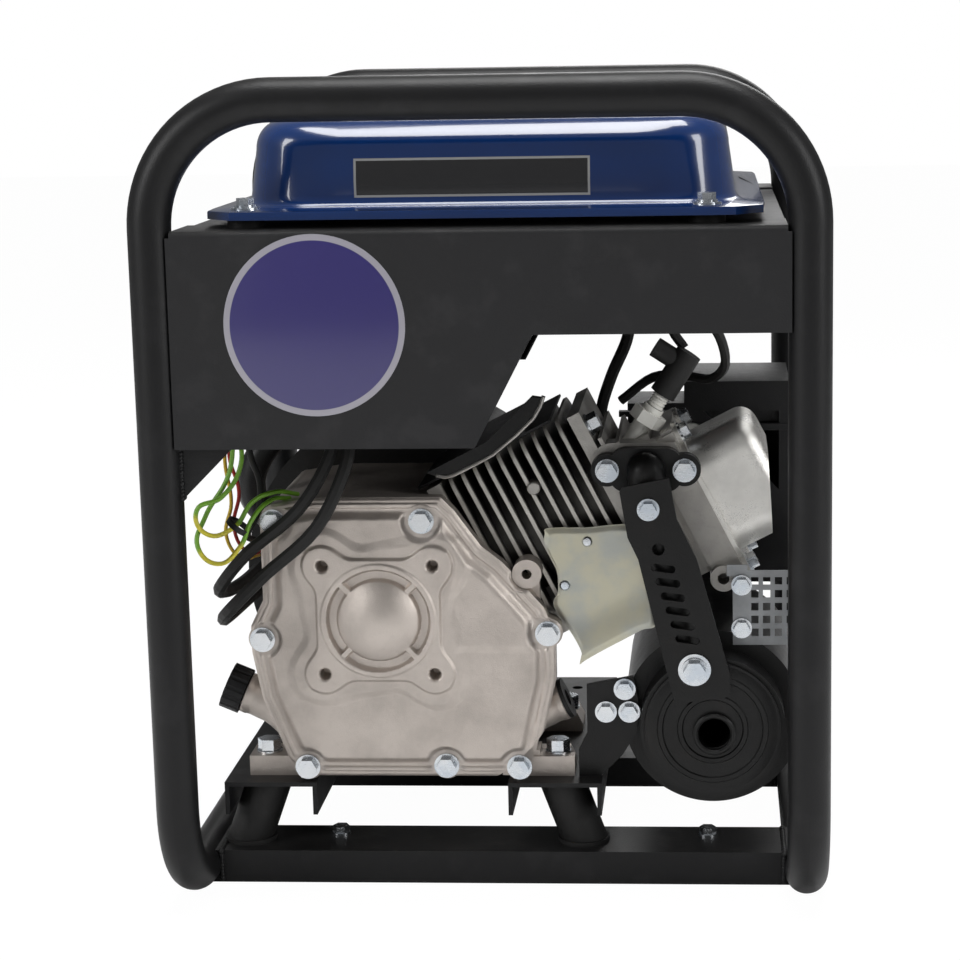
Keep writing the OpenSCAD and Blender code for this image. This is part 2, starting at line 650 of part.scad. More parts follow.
// Body of the rocker cover, cut back on a slant at its lower end
module rocker_form(w, l, h, rc, re, drop) {
  difference() {
    soft_box(w, l, h, rc, re);
    translate([-20, 0, 51 - drop + (drop > 0 ? 4 : 0)]) rotate([0, 23.7, 0]) translate([0, -60, 0]) cube([90, 120, 60]);
  }
}
module rocker_cover() {
  color("#c4c1bb") tilted() translate([0, rocker_y, -38]) difference() {
    union() {
      translate([head_s1, 0, 0]) rotate([0, 90, 0]) linear_extrude(height = 3) {
        round_rect(98, 90, 20);
        for (z = [-51, 51]) translate([z, -30]) circle(r = 9);
        for (z = [-51, 51]) translate([z, 30]) circle(r = 9);
      }
      translate([head_s1 + 3, 0, 0]) rotate([0, 90, 0]) rocker_form(84, 80, 48, 20, 12, 0);
    }
    translate([head_s1 - 1, 0, 0]) rotate([0, 90, 0]) rocker_form(81, 77, 50.5, 18.5, 10.5, 2.4);
    for (z = [-51, 51], y = [-30, 30]) translate([0, y, z]) rod_x(3.2, head_s1 - 2, head_s1 + 5);
  }
}
module engine_fixings() {
  color("#c9cbcd") {
    tilted() for (z = [-89, 13], y = [-30, 30]) translate([head_s1 + 3, rocker_y + y, z]) rotate([0, 90, 0])
      flange_head(10, 7, 5);
    for (x = [-1, 1]) translate([port_x + x * port_pitch / 2, -128, port_z]) front_bolt(3.8, 17, 12, 8, 8);
    translate([strap_top[0], strap_y, strap_top[1]]) front_bolt(2.9, 3, 10, 7.5, 5);
    translate([strap_low[0], strap_y, strap_low[1]]) {
      rod_y(11, -1.8, 0);
      translate([0, -1.8, 0]) front_bolt(3.8, 5, 13, 8.5, 6);
    }
    for (b = bracket_bolt) translate([b[0], bracket_y, b[1]]) front_bolt(2.9, 3, 10, 7.5, 5);
    for (z = [176, 206]) translate([166, shield_y, z]) front_bolt(2.9, 1.4, 10, 7, 4.5);
    tilted() translate([cyl_s1 + 9, cyl_y - fin_y + 12, 48]) rotate([0, 90, 0]) flange_head(12, 8, 7);
  }
}
module cooling_shroud() {
  color("#242424") tilted() {
    depth = case_back - 0.3 - cyl_y + fin_y - 6;
    translate([cyl_s0 - 6, cyl_y - fin_y + 6, 62.3]) cube([cyl_s1 - cyl_s0 - 6, depth, 1.6]);
    translate([cyl_s0 + 10, cyl_y - fin_y + 6, 63.8]) cube([cyl_s1 - cyl_s0 - 40, depth, 6]);
    // front flange over the ends of the fins
    along_y(cyl_y - fin_y - 1.6, cyl_y - fin_y + 7)
      polygon([[72, 71], [80, 62.3], [118, 62.3], [158, 71], [167, 79], [160, 84], [118, 71], [86, 71]]);
  }
}
module plug_place() { tilted() translate([213, cyl_y - 30, 28]) rotate([0, 60, 0]) children(); }
module spark_plug() {
  color("#e9e6de") plug_place() {
    translate([0, 0, -16]) cylinder(r = 6.95, h = 20);
    translate([0, 0, 4]) cylinder(d = 21 / cos(30), h = 9, $fn = 6);
    translate([0, 0, 13]) cylinder(r = 7.5, h = 4);
    translate([0, 0, 17]) cylinder(r = 5, h = 22);
  }
}
module plug_boot() {
  plug_place() difference() {
    union() {
      translate([0, 0, 27]) cylinder(r = 9, h = 34);
      translate([0, 0, 52]) rotate([0, -90, 0]) cylinder(r = 7, h = 22);
    }
    translate([0, 0, 26]) cylinder(r = 5.05, h = 13.1);
  }
}
lead_points = [[128, -86, 364], [120, -84, 378], [134, -80, 386], [150, -74, 374], [156, -60, 350],
  [146, -40, 336], [128, -10, 334], [104, 12, 330], [80, 18, 312]];
module ht_lead() {
  color("#121212") {
    plug_boot();
    cord(lead_points, 3.5);
  }
}
module exhaust_elbow() {
  color("#2b2a29") difference() {
    union() {
      along_y(-128, port_y) translate([port_x, port_z]) {
        round_rect(50, 30, 12);
        for (x = [-1, 1]) translate([x * port_pitch / 2, 0]) circle(r = 11);
      }
      translate([port_x, 0, port_z]) rod_y(13, elbow_y, -127);
      translate([port_x, elbow_y, port_z]) sphere(r = 13);
      translate([port_x, elbow_y, port_z]) rotate([0, elbow_lean, 0]) cylinder(r = 13, h = 136);
    }
    translate([port_x, 0, port_z]) rod_y(10, elbow_y, -117);
    translate([port_x, elbow_y, port_z]) sphere(r = 10);
    translate([port_x, elbow_y, port_z]) rotate([0, elbow_lean, 0]) cylinder(r = 10, h = 140);
    translate([muffler_x, 0, muffler_z]) rod_y(drum_r, drum_y0 - 2, shell_y0 + 2);
    for (x = [-1, 1]) translate([port_x + x * port_pitch / 2, 0, port_z]) rod_y(3.9, -130, -100);
  }
}
module muffler() {
  skin = 1.5;
  color("#1f1f20") translate([muffler_x, 0, muffler_z]) difference() {
    union() {
      difference() {
        union() {
          rod_y(drum_r - 3, drum_y0, drum_y0 + 4);
          rod_y(drum_r, drum_y0 + 3, shell_y0);
          rod_y(muffler_r, shell_y0, shell_y1);
        }
        rod_y(drum_r - skin, drum_y0 + 5, shell_y0 + skin + 1);
        rod_y(muffler_r - skin, shell_y0 + skin, shell_y1 - skin);
        // pressed groove in the front disc
        difference() {
          rod_y(37, drum_y0 - 1, drum_y0 + 1.5);
          rod_y(34, drum_y0 - 2, drum_y0 + 2);
        }
      }
      translate([1, 0, -3]) rod_y(13, drum_y0 - 3, drum_y0 + 60);
    }
    translate([1, 0, -3]) rod_y(11, drum_y0 - 4, drum_y0 + 61);
  }
}
module muffler_strap() {
  color("#1f1f20") difference() {
    along_y(strap_y, strap_y + 2.5)
      polygon([[85, 277], [87, 280], [118, 286], [123, 258], [136, 231], [158, 151], [158, 139], [155, 136], [124, 132],
        [120, 134], [97, 231], [90, 246]]);
    translate([strap_top[0], 0, strap_top[1]]) rod_y(3.3, strap_y - 1, strap_y + 4);
    translate([110.5, 0, 238]) rod_y(4.2, strap_y - 1, strap_y + 4);
    translate([strap_low[0], 0, strap_low[1]]) rod_y(4.2, strap_y - 1, strap_y + 4);
    for (k = [0 : 5]) translate([113.5 + 3.2 * k, 0, 225 - 9.8 * k]) rotate([0, 8, 0])
      along_y(strap_y - 1, strap_y + 4) round_rect(16.5, 5.2, 2.5);
  }
  // spacers to the exhaust elbow and the muffler drum
  color("#1f1f20") {
    difference() {
      translate([strap_top[0], 0, strap_top[1]]) rod_y(7, strap_y + 2.5, elbow_y - 11);
      translate([strap_top[0], 0, strap_top[1]]) rod_y(3, strap_y, elbow_y);
      translate([port_x, elbow_y, port_z]) rotate([0, elbow_lean, 0]) cylinder(r = 13, h = 136);
    }
    translate([strap_low[0], 0, strap_low[1]]) difference() {
      rod_y(7, strap_y + 2.5, drum_y0);
      rod_y(3.9, strap_y, drum_y0 + 1);
    }
  }
}
shield_y = -119.5;
module heat_shield() {
  t = 1.2;
  color("#6c6e70") difference() {
    union() {
      translate([160, shield_y, 164]) cube([46, t, 52]);
      translate([206 - t, shield_y, 164]) cube([t, 150, 52]);
      translate([156, shield_y, 212]) cube([14, t, 8]);
    }
    for (i = [0 : 3], k = [0 : 4]) translate([172.5 + 8 * i, shield_y - 1, 170 + 9 * k]) cube([5, 4, 5.4]);
    for (i = [0 : 14], k = [0 : 4]) translate([200, shield_y + 8 + 9.4 * i, 170 + 9 * k]) cube([10, 5.4, 5.4]);
    for (z = [176, 206]) translate([166, 0, z]) rod_y(3.2, shield_y - 1, shield_y + 4);
  }
}
deflector_y = -126;
module heat_deflector() {
  color("#a9ab8c") for (at = [[46.2, 207.4], [61.7, 237.8]]) translate([at[0], 0, at[1]])
    rod_y(3.8, deflector_y + 1.1, cyl_y - fin_y);
  color("#a9ab8c") difference() {
    along_y(deflector_y, deflector_y + 1.2)
      polygon([[33, 243], [36, 247], [97, 247], [100, 181], [78.5, 175.5], [70, 169], [60, 158], [53, 153], [57, 163],
        [50, 176], [39, 192], [41, 203], [40, 218], [32, 235]]);
    translate([75, -140, 200]) cube([16, 20, 22]);
    translate([crank_x + 100, 0, crank_z + 29]) rod_y(13, -140, -100);
  }
}
bracket_y = -127;
bracket_bolt = [[73, 119], [86, 135], [89, 119]];
module muffler_bracket() {
  color("#1f1f20") difference() {
    along_y(bracket_y, bracket_y + 3)
      polygon([[60, 138], [92, 144], [95, 128], [94, 104], [84, 88], [69, 73], [54, 73], [54, 92], [60, 104]]);
    for (b = bracket_bolt) translate([b[0], 0, b[1]]) rod_y(3.1, bracket_y - 1, bracket_y + 4);
  }
  color("#1f1f20") translate([88, bracket_y + 3, 108]) cube([5, shell_y0 - bracket_y - 3, 20]);
}
module mount_channels() {
  t = 3;
  color("#1c1c1e") for (k = [0, 1]) translate([channel_x[k] - channel_w / 2, channel_y0, 0]) difference() {
    translate([0, 0, 50]) cube([channel_w, channel_y1 - channel_y0, channel_z - 50]);
    translate([t, -1, 40]) cube([channel_w - 2 * t, channel_y1 - channel_y0 + 2, channel_z - 40 - t]);
    for (y = foot_bolt_y) translate([foot_bolt_x[k] - channel_x[k] + channel_w / 2, y - channel_y0, 60])
      cylinder(r = 5.2, h = 20);
    for (y = [front_beam_y, rear_beam_y])
      translate([isolator_top[k] - channel_x[k] + channel_w / 2, y - channel_y0, 60]) cylinder(r = 4.2, h = 20);
  }
}
isolator_lean = (channel_z - 3 - beam_z1 - 3) * tan(isolator_tilt);
isolator_top = [isolator_x[0] + isolator_lean, isolator_x[1] - isolator_lean];
module rubber_isolators() {
  color("#151515") for (k = [0, 1], y = [front_beam_y, rear_beam_y])
    translate([isolator_x[k], y, beam_z1]) {
      cylinder(r = 18, h = 3);
      intersection() {
        translate([0, 0, 3]) rotate([0, (k == 0 ? 1 : -1) * isolator_tilt, 0]) translate([0, 0, -30])
          cylinder(r = 15.5, h = 120);
        translate([-100, -40, 3]) cube([200, 80, channel_z - 3 - beam_z1 - 3]);
      }
      translate([0, 0, -12]) cylinder(r = 4, h = 12);
    }
}
module foot_bolts() {
  color("#c9cbcd") {
    for (x = foot_bolt_x, y = foot_bolt_y) translate([x, y, channel_z + 14]) {
      flange_head(14, 8.9, 8);
      translate([0, 0, -17]) cylinder(r = 5, h = 17);
    }
    for (x = [-116, 142], y = [front_beam_y + 10, rear_beam_y + 10]) translate([x, y, beam_z1]) flange_head(10, 6.5, 4.5);
  }
}
module dipstick() {
  color("#1a1a1a") {
    difference() {
      oil_neck(-1, neck_left, 16, neck_len + 0.4, neck_len + 14);
      for (k = [0 : 13]) translate([neck_left[0], neck_y, neck_left[1]])
        rotate([0, -(90 - neck_tilt), 0]) rotate([0, 0, k * 360 / 14]) translate([17.4, 0, neck_len])
          cylinder(r = 2.2, h = 15);
    }
    oil_neck(-1, neck_left, neck_bore - run_gap, 8, neck_len + 1);
  }
}
module oil_plug() {
  color("#3a3a3a") difference() {
    union() {
      oil_neck(1, neck_right, neck_r, neck_len, neck_len + 3);
      oil_neck(1, neck_right, neck_bore - run_gap, 8, neck_len + 1);
    }
    oil_neck(1, neck_right, 6, 20, neck_len + 4);
  }
}
module crankshaft() {
  color("#8d9094") at_crank() {
    rod_y(journal_r, cover_y + 4, -92);
    for (y = [-92, -40]) difference() {
      rod_y(web_r, y, y + 12);
      rotate([0, -tilt, 0]) for (z = [-1, 1]) translate([-60, y - 1, z * 62 - 30]) cube([60, 14, 60]);
    }
    rotate([0, -tilt, 0]) translate([-stroke / 2, 0, 0]) rod_y(15, -81, -39);
    rod_y(journal_r, -28, 20);
    rod_y(12, 20, 112);
  }
}
module piston() {
  color("#b6b8ba") tilted() translate([0, cyl_y, 0]) difference() {
    rod_x(bore_r - run_gap, piston_s - 20, piston_s + 30);
    rod_x(bore_r - 7, piston_s - 21, piston_s + 22);
    for (s = [12, 18, 24]) difference() {
      rod_x(bore_r + 1, piston_s + s, piston_s + s + 2);
      rod_x(bore_r - 2, piston_s + s - 1, piston_s + s + 3);
    }
    translate([piston_s, 0, 0]) rod_y(10, -60, 60);
  }
}
rotor_y0 = 22;
rotor_y1 = 86;
module rotor() {
  color("#6f7276") at_crank() difference() {
    union() {
      rod_y(rotor_r, rotor_y0, rotor_y1);
      for (k = [0 : 13]) rotate([0, k * 360 / 14, 0]) translate([52, rotor_y1 - 1, -1.5]) cube([48, 22, 3]);
    }
    rod_y(rotor_r - 8, rotor_y0 - 1, rotor_y1 - 8);
    rod_y(12, rotor_y0, rotor_y1 + 1);
  }
}
module stator() {
  color("#7d5a35") at_crank() difference() {
    union() {
      rod_y(44, case_back, 30);
      rod_y(60, 28, 74);
      for (k = [0 : 17]) rotate([0, 20 * k, 0]) translate([56, 30, -5]) cube([stator_r - 56, 42, 10]);
    }
    rod_y(24, case_back - 1, 80);
  }
}
module fan_housing() {
  color("#1f1f20") at_crank() difference() {
    rod_y(housing_r, case_back, recoil_y);
    rod_y(housing_r - 2, case_back + 2, recoil_y - 2);
    rod_y(46, case_back - 1, case_back + 3);
    rod_y(72, recoil_y - 3, recoil_y + 1);
    for (k = [0 : 7]) rotate([0, 22.5 + 45 * k, 0]) translate([90, recoil_y - 3, -9]) cube([18, 4, 18]);
  }
}
module recoil_cover() {
  color("#2a2a2c") at_crank() difference() {
    union() {
      rod_y(84, recoil_y, recoil_y + 4);
      rod_y(74, recoil_y + 3, recoil_y + recoil_depth - 6);
      rod_y(68, recoil_y + recoil_depth - 7, recoil_y + recoil_depth);
    }
    rod_y(71, recoil_y - 1, recoil_y + recoil_depth - 8);
    rod_y(60, recoil_y + recoil_depth - 9, recoil_y + recoil_depth - 2.5);
    for (k = [0 : 17]) rotate([0, 20 * k, 0]) translate([30, recoil_y + recoil_depth - 4, -2.2]) cube([26, 6, 4.4]);
    rod_y(6.05, recoil_y + recoil_depth - 9, recoil_y + recoil_depth + 1);
    translate([0, recoil_y + 25, 0]) rod_x(4, -90, -60);
  }
}
module recoil_pulley() {
  color("#d8d6cf") at_crank() difference() {
    union() {
      rod_y(52, recoil_y + 12, recoil_y + 15);
      rod_y(44, recoil_y + 14, recoil_y + 36);
      rod_y(52, recoil_y + 35, recoil_y + 38);
      rod_y(6, recoil_y + 37, recoil_y + recoil_depth - 0.5);
    }
    rod_y(14, recoil_y + 11, recoil_y + 34);
  }
}
module recoil_handle() {
  color("#17181a") translate([crank_x, recoil_y + 25, crank_z]) rotate([0, -90, 0]) {
    difference() {
      translate([0, 0, 74.6]) cylinder(r = 7, h = 8);
      translate([0, 0, 70]) cylinder(r = 2, h = 10);
    }
    translate([0, 0, 82]) linear_extrude(height = 15) round_rect(56, 19, 9);
    translate([0, 0, 60]) cylinder(r = 3.9, h = 15);
  }
}
carb_x = 112;
carb_z = 276;
module carburettor() {
  color("#a7a9ab") translate([carb_x, 0, carb_z]) difference() {
    union() {
      along_y(-1.5, 4) round_rect(60, 30, 10);
      rod_y(15, 3, 44);
      translate([0, 24, 0]) cylinder(r = 13, h = 20);
      translate([0, 24, -40]) cylinder(r = 18, h = 28);
      translate([0, 24, -14]) cylinder(r = 8, h = 16);
      translate([-28, 20, 8]) rotate([0, 90, 0]) cylinder(r = 3.5, h = 16);
      along_y(40, 44) round_rect(60, 30, 10);
    }
    rod_y(10, -3, 50);
    translate([0, 34, 0]) rod_z(3.05, 5, 30);
  }
}
module rod_z(r, z0, z1) { translate([0, 0, z0]) cylinder(r = r, h = z1 - z0); }
module choke_lever() {
  color("#17181a") translate([carb_x, 34, carb_z]) {
    rod_z(3, 6, 26);
    translate([-5, -5, 22]) cube([10, 10, 4]);
    translate([-34, -4, 22]) cube([34, 8, 4]);
  }
}
module air_cleaner() {
  color("#1b1c1e") difference() {
    union() {
      translate([126, 44, 170]) cube([78, 100, 152]);
      translate([84, 44, 236]) cube([44, 60, 70]);
    }
    translate([129, 47, 173]) cube([72, 94, 118]);
    translate([87, 47, 239]) cube([50, 54, 52]);
    translate([carb_x, 0, carb_z]) rod_y(10, 40, 50);
    along_y(40, 50) polygon([[140, 300], [196, 300], [196, 240]]);
  }
}
cable_a = [[-104, -150, 322], [-108, -158, 300], [-128, -164, 268], [-164, -160, 238], [-186, -146, 212],
  [-190, -110, 200], [-187, -60, 196], [-184, 7.6, 196]];
cable_b = [[-94, -150, 322], [-96, -160, 296], [-116, -168, 256], [-152, -166, 224], [-180, -154, 196],
  [-190, -116, 182], [-188, -60, 180], [-186, 7.6, 178]];

module output_cables() {
  color("#121212") {
    cord(cable_a, 4.5);
    cord(cable_b, 4.5);
  }
}
earth_a = [[-172, -148, 321], [-176, -152, 290], [-192, -158, 262], [-196, -166, 244], [-182, -170, 233],
  [-167, -170, 244], [-159, -164, 262], [-150, -146, 271], [-141, -122, 268]];
earth_b = [[-170, -145, 321], [-168, -150, 296], [-180, -160, 276], [-196, -164, 268], [-190, -164, 252],
  [-172, -162, 256], [-160, -156, 272], [-148, -142, 276], [-136, -118, 270]];
module earth_wires() {
  color("#7fae2e") {
    cord(earth_a, 1.6);
    cord(earth_b, 1.6);
  }
}

front_hoop();
rear_hoop();
side_rails();
cross_beams();
panel_gussets();
front_end_panel();
rear_end_panel();
tank_deck();
control_box();
control_panel();
weld_sockets();
current_knob();
ac_outlets();
switch_bodies();
breaker_button();
engine_switch();
output_meter();
earth_terminal();
inverter_module();
fuel_tank();
fuel_cap();
tank_fixings();
tank_bushes();
fuel_tap();
fuel_tap_lever();
fuel_hose();
crankcase();
crankcase_cover();
cover_bolts();
cylinder_barrel();
cylinder_head();
rocker_cover();
engine_fixings();
cooling_shroud();
spark_plug();
ht_lead();
exhaust_elbow();
muffler();
muffler_strap();
heat_shield();
heat_deflector();
muffler_bracket();
mount_channels();
rubber_isolators();
foot_bolts();
dipstick();
oil_plug();
crankshaft();
piston();
rotor();
stator();
fan_housing();
recoil_cover();
recoil_pulley();
recoil_handle();
carburettor();
choke_lever();
air_cleaner();
output_cables();
earth_wires();
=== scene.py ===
"""Looks for an engine driven welder: powder-coated tube frame, sheet metal, gloss blue tank,
blasted aluminium engine, matt black exhaust, and the small fittings that the CAD leaves out.
The frame is the CAD's own: +Z up, +Y along the crankshaft. Blender's metres are used in meshes and
materials; places and profiles of small fittings are written in millimetres and scaled by MM."""

import math

import bmesh
import bpy
import numpy as np
from mathutils import Matrix, Vector


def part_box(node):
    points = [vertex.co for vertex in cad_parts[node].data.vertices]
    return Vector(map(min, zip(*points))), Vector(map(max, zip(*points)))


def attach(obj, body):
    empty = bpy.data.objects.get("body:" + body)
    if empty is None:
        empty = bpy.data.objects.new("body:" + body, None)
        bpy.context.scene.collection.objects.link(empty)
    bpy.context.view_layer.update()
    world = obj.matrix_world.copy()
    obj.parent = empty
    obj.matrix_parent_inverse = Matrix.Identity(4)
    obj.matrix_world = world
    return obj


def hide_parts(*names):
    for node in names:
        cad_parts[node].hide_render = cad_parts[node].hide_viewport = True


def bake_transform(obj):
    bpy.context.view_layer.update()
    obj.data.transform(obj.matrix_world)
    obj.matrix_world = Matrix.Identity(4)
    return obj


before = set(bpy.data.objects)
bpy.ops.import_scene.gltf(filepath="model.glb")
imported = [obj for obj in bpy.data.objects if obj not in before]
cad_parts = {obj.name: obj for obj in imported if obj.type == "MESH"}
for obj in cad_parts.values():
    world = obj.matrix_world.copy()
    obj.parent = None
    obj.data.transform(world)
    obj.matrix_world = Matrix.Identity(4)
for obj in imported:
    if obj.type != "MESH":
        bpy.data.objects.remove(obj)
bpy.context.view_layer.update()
scene = bpy.context.scene
MM = 0.001
CRANK_X, CRANK_Z = -79.0, 188.5  # crank axis, in millimetres
LEAN = math.radians(27)  # lean of the cylinder above the horizontal
FRONT_FACE = -128.0  # joint face between crankcase and cover, along Y, in millimetres


# ---------- shader maths ----------
class Wire:
    """A socket of a finish. An expression on wires adds its Math nodes."""

    def __init__(self, finish, socket):
        self.finish, self.socket = finish, socket

    def math(self, operation, *others, flipped=False):
        values = [self, *others]
        if flipped:
            values.reverse()
        return self.finish.node("ShaderNodeMath", {"operation": operation}, dict(enumerate(values)))

    def __add__(self, other):
        return self.math("ADD", other)

    def __sub__(self, other):
        return self.math("SUBTRACT", other)

    def __rsub__(self, other):
        return self.math("SUBTRACT", other, flipped=True)

    def __mul__(self, other):
        return self.math("MULTIPLY", other)

    def __truediv__(self, other):
        return self.math("DIVIDE", other)

    __radd__, __rmul__ = __add__, __mul__

    def rise(self, low, high):
        """0 below low, 1 above high, smooth between."""
        return self.finish.node("ShaderNodeMapRange", {"interpolation_type": "SMOOTHSTEP"},
                                {"Value": self, "From Min": low, "From Max": high})


class Finish:
    """One procedural material, for one or more of the welder's parts."""

    def __init__(self, name, **constants):
        self.material = bpy.data.materials.new(name)
        self.material.use_nodes = True
        self.tree = self.material.node_tree
        self.tree.nodes.clear()
        self.shader = self.tree.nodes.new("ShaderNodeBsdfPrincipled")
        out = self.tree.nodes.new("ShaderNodeOutputMaterial")
        self.tree.links.new(self.shader.outputs[0], out.inputs[0])
        for socket, value in constants.items():
            self.put(socket.replace("_", " "), value)
        self.place = self.node("ShaderNodeTexCoord", {}, {}, "Object")

    def node(self, kind, settings, values, out=0):
        """Adds a node. settings are its properties, values its sockets, out names the output to use."""
        made = self.tree.nodes.new(kind)
        for key, value in settings.items():
            setattr(made, key, value)
        for key, value in values.items():
            if isinstance(value, Wire):
                self.tree.links.new(value.socket, made.inputs[key])
            else:
                made.inputs[key].default_value = value
        return Wire(self, made.outputs[out])

    def put(self, socket, value):
        """A constant on the shader's own socket, or a wire into it."""
        if isinstance(value, Wire):
            self.tree.links.new(value.socket, self.shader.inputs[socket])
        else:
            self.shader.inputs[socket].default_value = value

    def noise(self, scale, detail=3.0, rough=0.55, stretch=None):
        place = self.place
        if stretch:
            place = self.node("ShaderNodeMapping", {}, {"Vector": place, "Scale": stretch})
        return self.node("ShaderNodeTexNoise", {}, {
            "Vector": place, "Scale": scale, "Detail": detail, "Roughness": rough})

    def cells(self, scale):
        return self.node("ShaderNodeTexVoronoi", {}, {"Vector": self.place, "Scale": scale}, "Distance")

    def axis(self, letter):
        return self.node("ShaderNodeSeparateXYZ", {}, {"Vector": self.place}, letter)

    def facing_up(self):
        normal = self.node("ShaderNodeNewGeometry", {}, {}, "Normal")
        return self.node("ShaderNodeSeparateXYZ", {}, {"Vector": normal}, "Z")

    def mix(self, mask, first, second):
        """Colour between first and second, by mask."""
        made = self.tree.nodes.new("ShaderNodeMix")
        made.data_type = "RGBA"
        sockets = {made.inputs[0]: mask, made.inputs[6]: first, made.inputs[7]: second}
        for socket, value in sockets.items():
            if isinstance(value, Wire):
                self.tree.links.new(value.socket, socket)
            elif isinstance(value, tuple):
                socket.default_value = (*value, 1.0)
            else:
                socket.default_value = value
        return Wire(self, made.outputs[2])

    def bump(self, height, depth, strength=1.0):
        self.put("Normal", self.node("ShaderNodeBump", {}, {
            "Height": height, "Distance": depth, "Strength": strength}))


def powder_coat(name, colour, shine=0.36, dust=0.10):
    """Satin powder coat: fine orange peel, faint rubbed patches, dust on what faces up."""
    f = Finish(name, Metallic=0.0, Specular_IOR_Level=0.26)
    peel = f.noise(850, 2.0)
    rubbed = f.noise(38, 4.0).rise(0.52, 0.72)
    settled = (f.facing_up().rise(0.55, 1.0) * f.noise(60, 5.0, 0.7).rise(0.3, 0.8)) * dust
    tone = f.mix(rubbed * 0.5, colour, tuple(1.5 * c + 0.004 for c in colour))
    f.put("Base Color", f.mix(settled, tone, (0.22, 0.21, 0.19)))
    f.put("Roughness", f.noise(24, 3.0) * 0.10 + (shine + settled * 0.8) - rubbed * 0.06)
    f.bump(peel, 0.00022, 0.55)
    return f.material


def gloss_enamel(name, colour, plate):
    """Sprayed gloss enamel under a clear coat, with a slight orange peel and pigment drift.
    plate is the place of a bare dark decal: low and high x, low and high z, on the front wall."""
    f = Finish(name, Coat_Weight=1.0, Coat_Roughness=0.06, Specular_IOR_Level=0.4)
    drift = f.noise(9, 2.0).rise(0.3, 0.7)
    paint = f.mix(drift, colour, tuple(0.82 * c for c in colour))
    x, y, z = (f.axis(letter) for letter in "XYZ")
    front = 1.0 - y.rise(-0.151, -0.150)
    x0, x1, z0, z1 = plate
    blur, border = 0.0003, 0.0015

    def between(along, low, high):
        return along.rise(low, low + blur) * (1.0 - along.rise(high, high + blur))

    def field(edge):
        return between(x, x0 + edge, x1 - edge) * between(z, z0 + edge, z1 - edge) * front

    rimmed = f.mix(field(0.0), paint, (0.30, 0.30, 0.29))
    f.put("Base Color", f.mix(field(border), rimmed, (0.014, 0.014, 0.015)))
    f.put("Roughness", f.noise(55, 4.0) * 0.10 + 0.20)
    f.bump(f.noise(170, 2.0) + f.noise(1200, 1.0) * 0.2, 0.00016, 0.35)
    return f.material


def cast_alloy(name, colour, grain=1500.0, metal=0.85, rough=0.42, stain=0.5, fin_shade=None):
    """Blasted die-cast aluminium: fine pits, cloudy oxide, random grime blotches.
    The last argument gives the tilted cylinder's centre and half sizes: with it, shade is painted on what lies deep
    between the fins."""
    f = Finish(name, Metallic=metal)
    cloud = f.noise(30, 5.0, 0.6).rise(0.35, 0.75)
    pits = f.noise(grain, 2.0, 0.6)
    blotch = f.noise(140, 4.0, 0.65).rise(0.5, 0.85)
    low = tuple(0.72 * c for c in colour)
    grime = tuple(0.36 * c for c in colour)
    tone = f.mix(cloud * 0.6, colour, low)
    tone = f.mix(blotch * stain * 0.45, tone, grime)
    if fin_shade:
        (x0, y0, z0), half_y, half_t, lean = fin_shade
        across = (f.axis("Y") - y0).math("ABSOLUTE") / half_y
        rise = (f.axis("Z") - z0) * math.cos(lean) - (f.axis("X") - x0) * math.sin(lean)
        shell = across.math("MAXIMUM", rise.math("ABSOLUTE") / half_t)
        # painted shade: the colour darkens towards 0.13 of the alloy's deep inside the fin pack, and stays plain at
        # the fin tips
        tone = f.mix(shell.rise(0.86, 0.985), tuple(0.13 * c for c in colour), tone)
    f.put("Base Color", tone)
    f.put("Roughness", pits * 0.16 + cloud * 0.10 + (rough - 0.10))
    f.bump(pits + f.noise(260, 3.0) * 0.8, 0.00028, 0.7)
    return f.material


def plated_steel(name, colour, rough=0.28, tint=None, metal=1.0):
    """Plated steel: fine drawn streaks, faint cloud, and a tint where it is passivated."""
    f = Finish(name, Metallic=metal)
    streak = f.noise(220, 3.0, 0.6, (1.0, 1.0, 9.0))
    cloud = f.noise(42, 4.0).rise(0.38, 0.68)
    f.put("Base Color", f.mix(cloud, colour, tint or tuple(0.84 * c for c in colour)))
    f.put("Roughness", streak * 0.16 + cloud * 0.06 + (rough - 0.08))
    f.bump(streak, 0.00008, 0.5)
    return f.material


def moulded(name, colour, grain=1100.0, rough=0.5, depth=0.00020):
    """Moulded plastic or rubber: spark-eroded grain and faint handling marks."""
    f = Finish(name, Specular_IOR_Level=0.32)
    marks = f.noise(70, 4.0).rise(0.5, 0.8)
    f.put("Base Color", f.mix(marks * 0.5, colour, tuple(1.5 * c + 0.002 for c in colour)))
    f.put("Roughness", f.noise(180, 2.0) * 0.12 + (rough - 0.06) - marks * 0.05)
    f.bump(f.cells(grain) + f.noise(grain, 1.0) * 0.5, depth, 0.5)
    return f.material


def heat_black(name, colour=(0.0042, 0.0042, 0.0042)):
    """Heat-resisting matt black with brown scorch and chalky patches."""
    f = Finish(name, Specular_IOR_Level=0.3)
    scorch = f.noise(26, 5.0, 0.6).rise(0.5, 0.8)
    chalk = f.noise(190, 4.0, 0.7).rise(0.58, 0.85)
    tone = f.mix(scorch * 0.5, colour, (0.012, 0.009, 0.007))
    f.put("Base Color", f.mix(chalk * 0.30, tone, (0.022, 0.021, 0.020)))
    f.put("Roughness", f.noise(90, 3.0) * 0.14 + 0.34 + chalk * 0.15)
    f.bump(f.noise(700, 2.0) + f.noise(120, 2.0) * 0.6, 0.00026, 0.5)
    return f.material


def glazed(name, colour):
    """Glazed ceramic: a clear skin over an almost even body."""
    f = Finish(name, Coat_Weight=0.6, Coat_Roughness=0.06)
    f.put("Base Color", f.mix(f.noise(120, 3.0), colour, tuple(0.93 * c for c in colour)))
    f.put("Roughness", f.noise(200, 2.0) * 0.06 + 0.14)
    f.bump(f.noise(500, 1.0), 0.00006, 0.3)
    return f.material


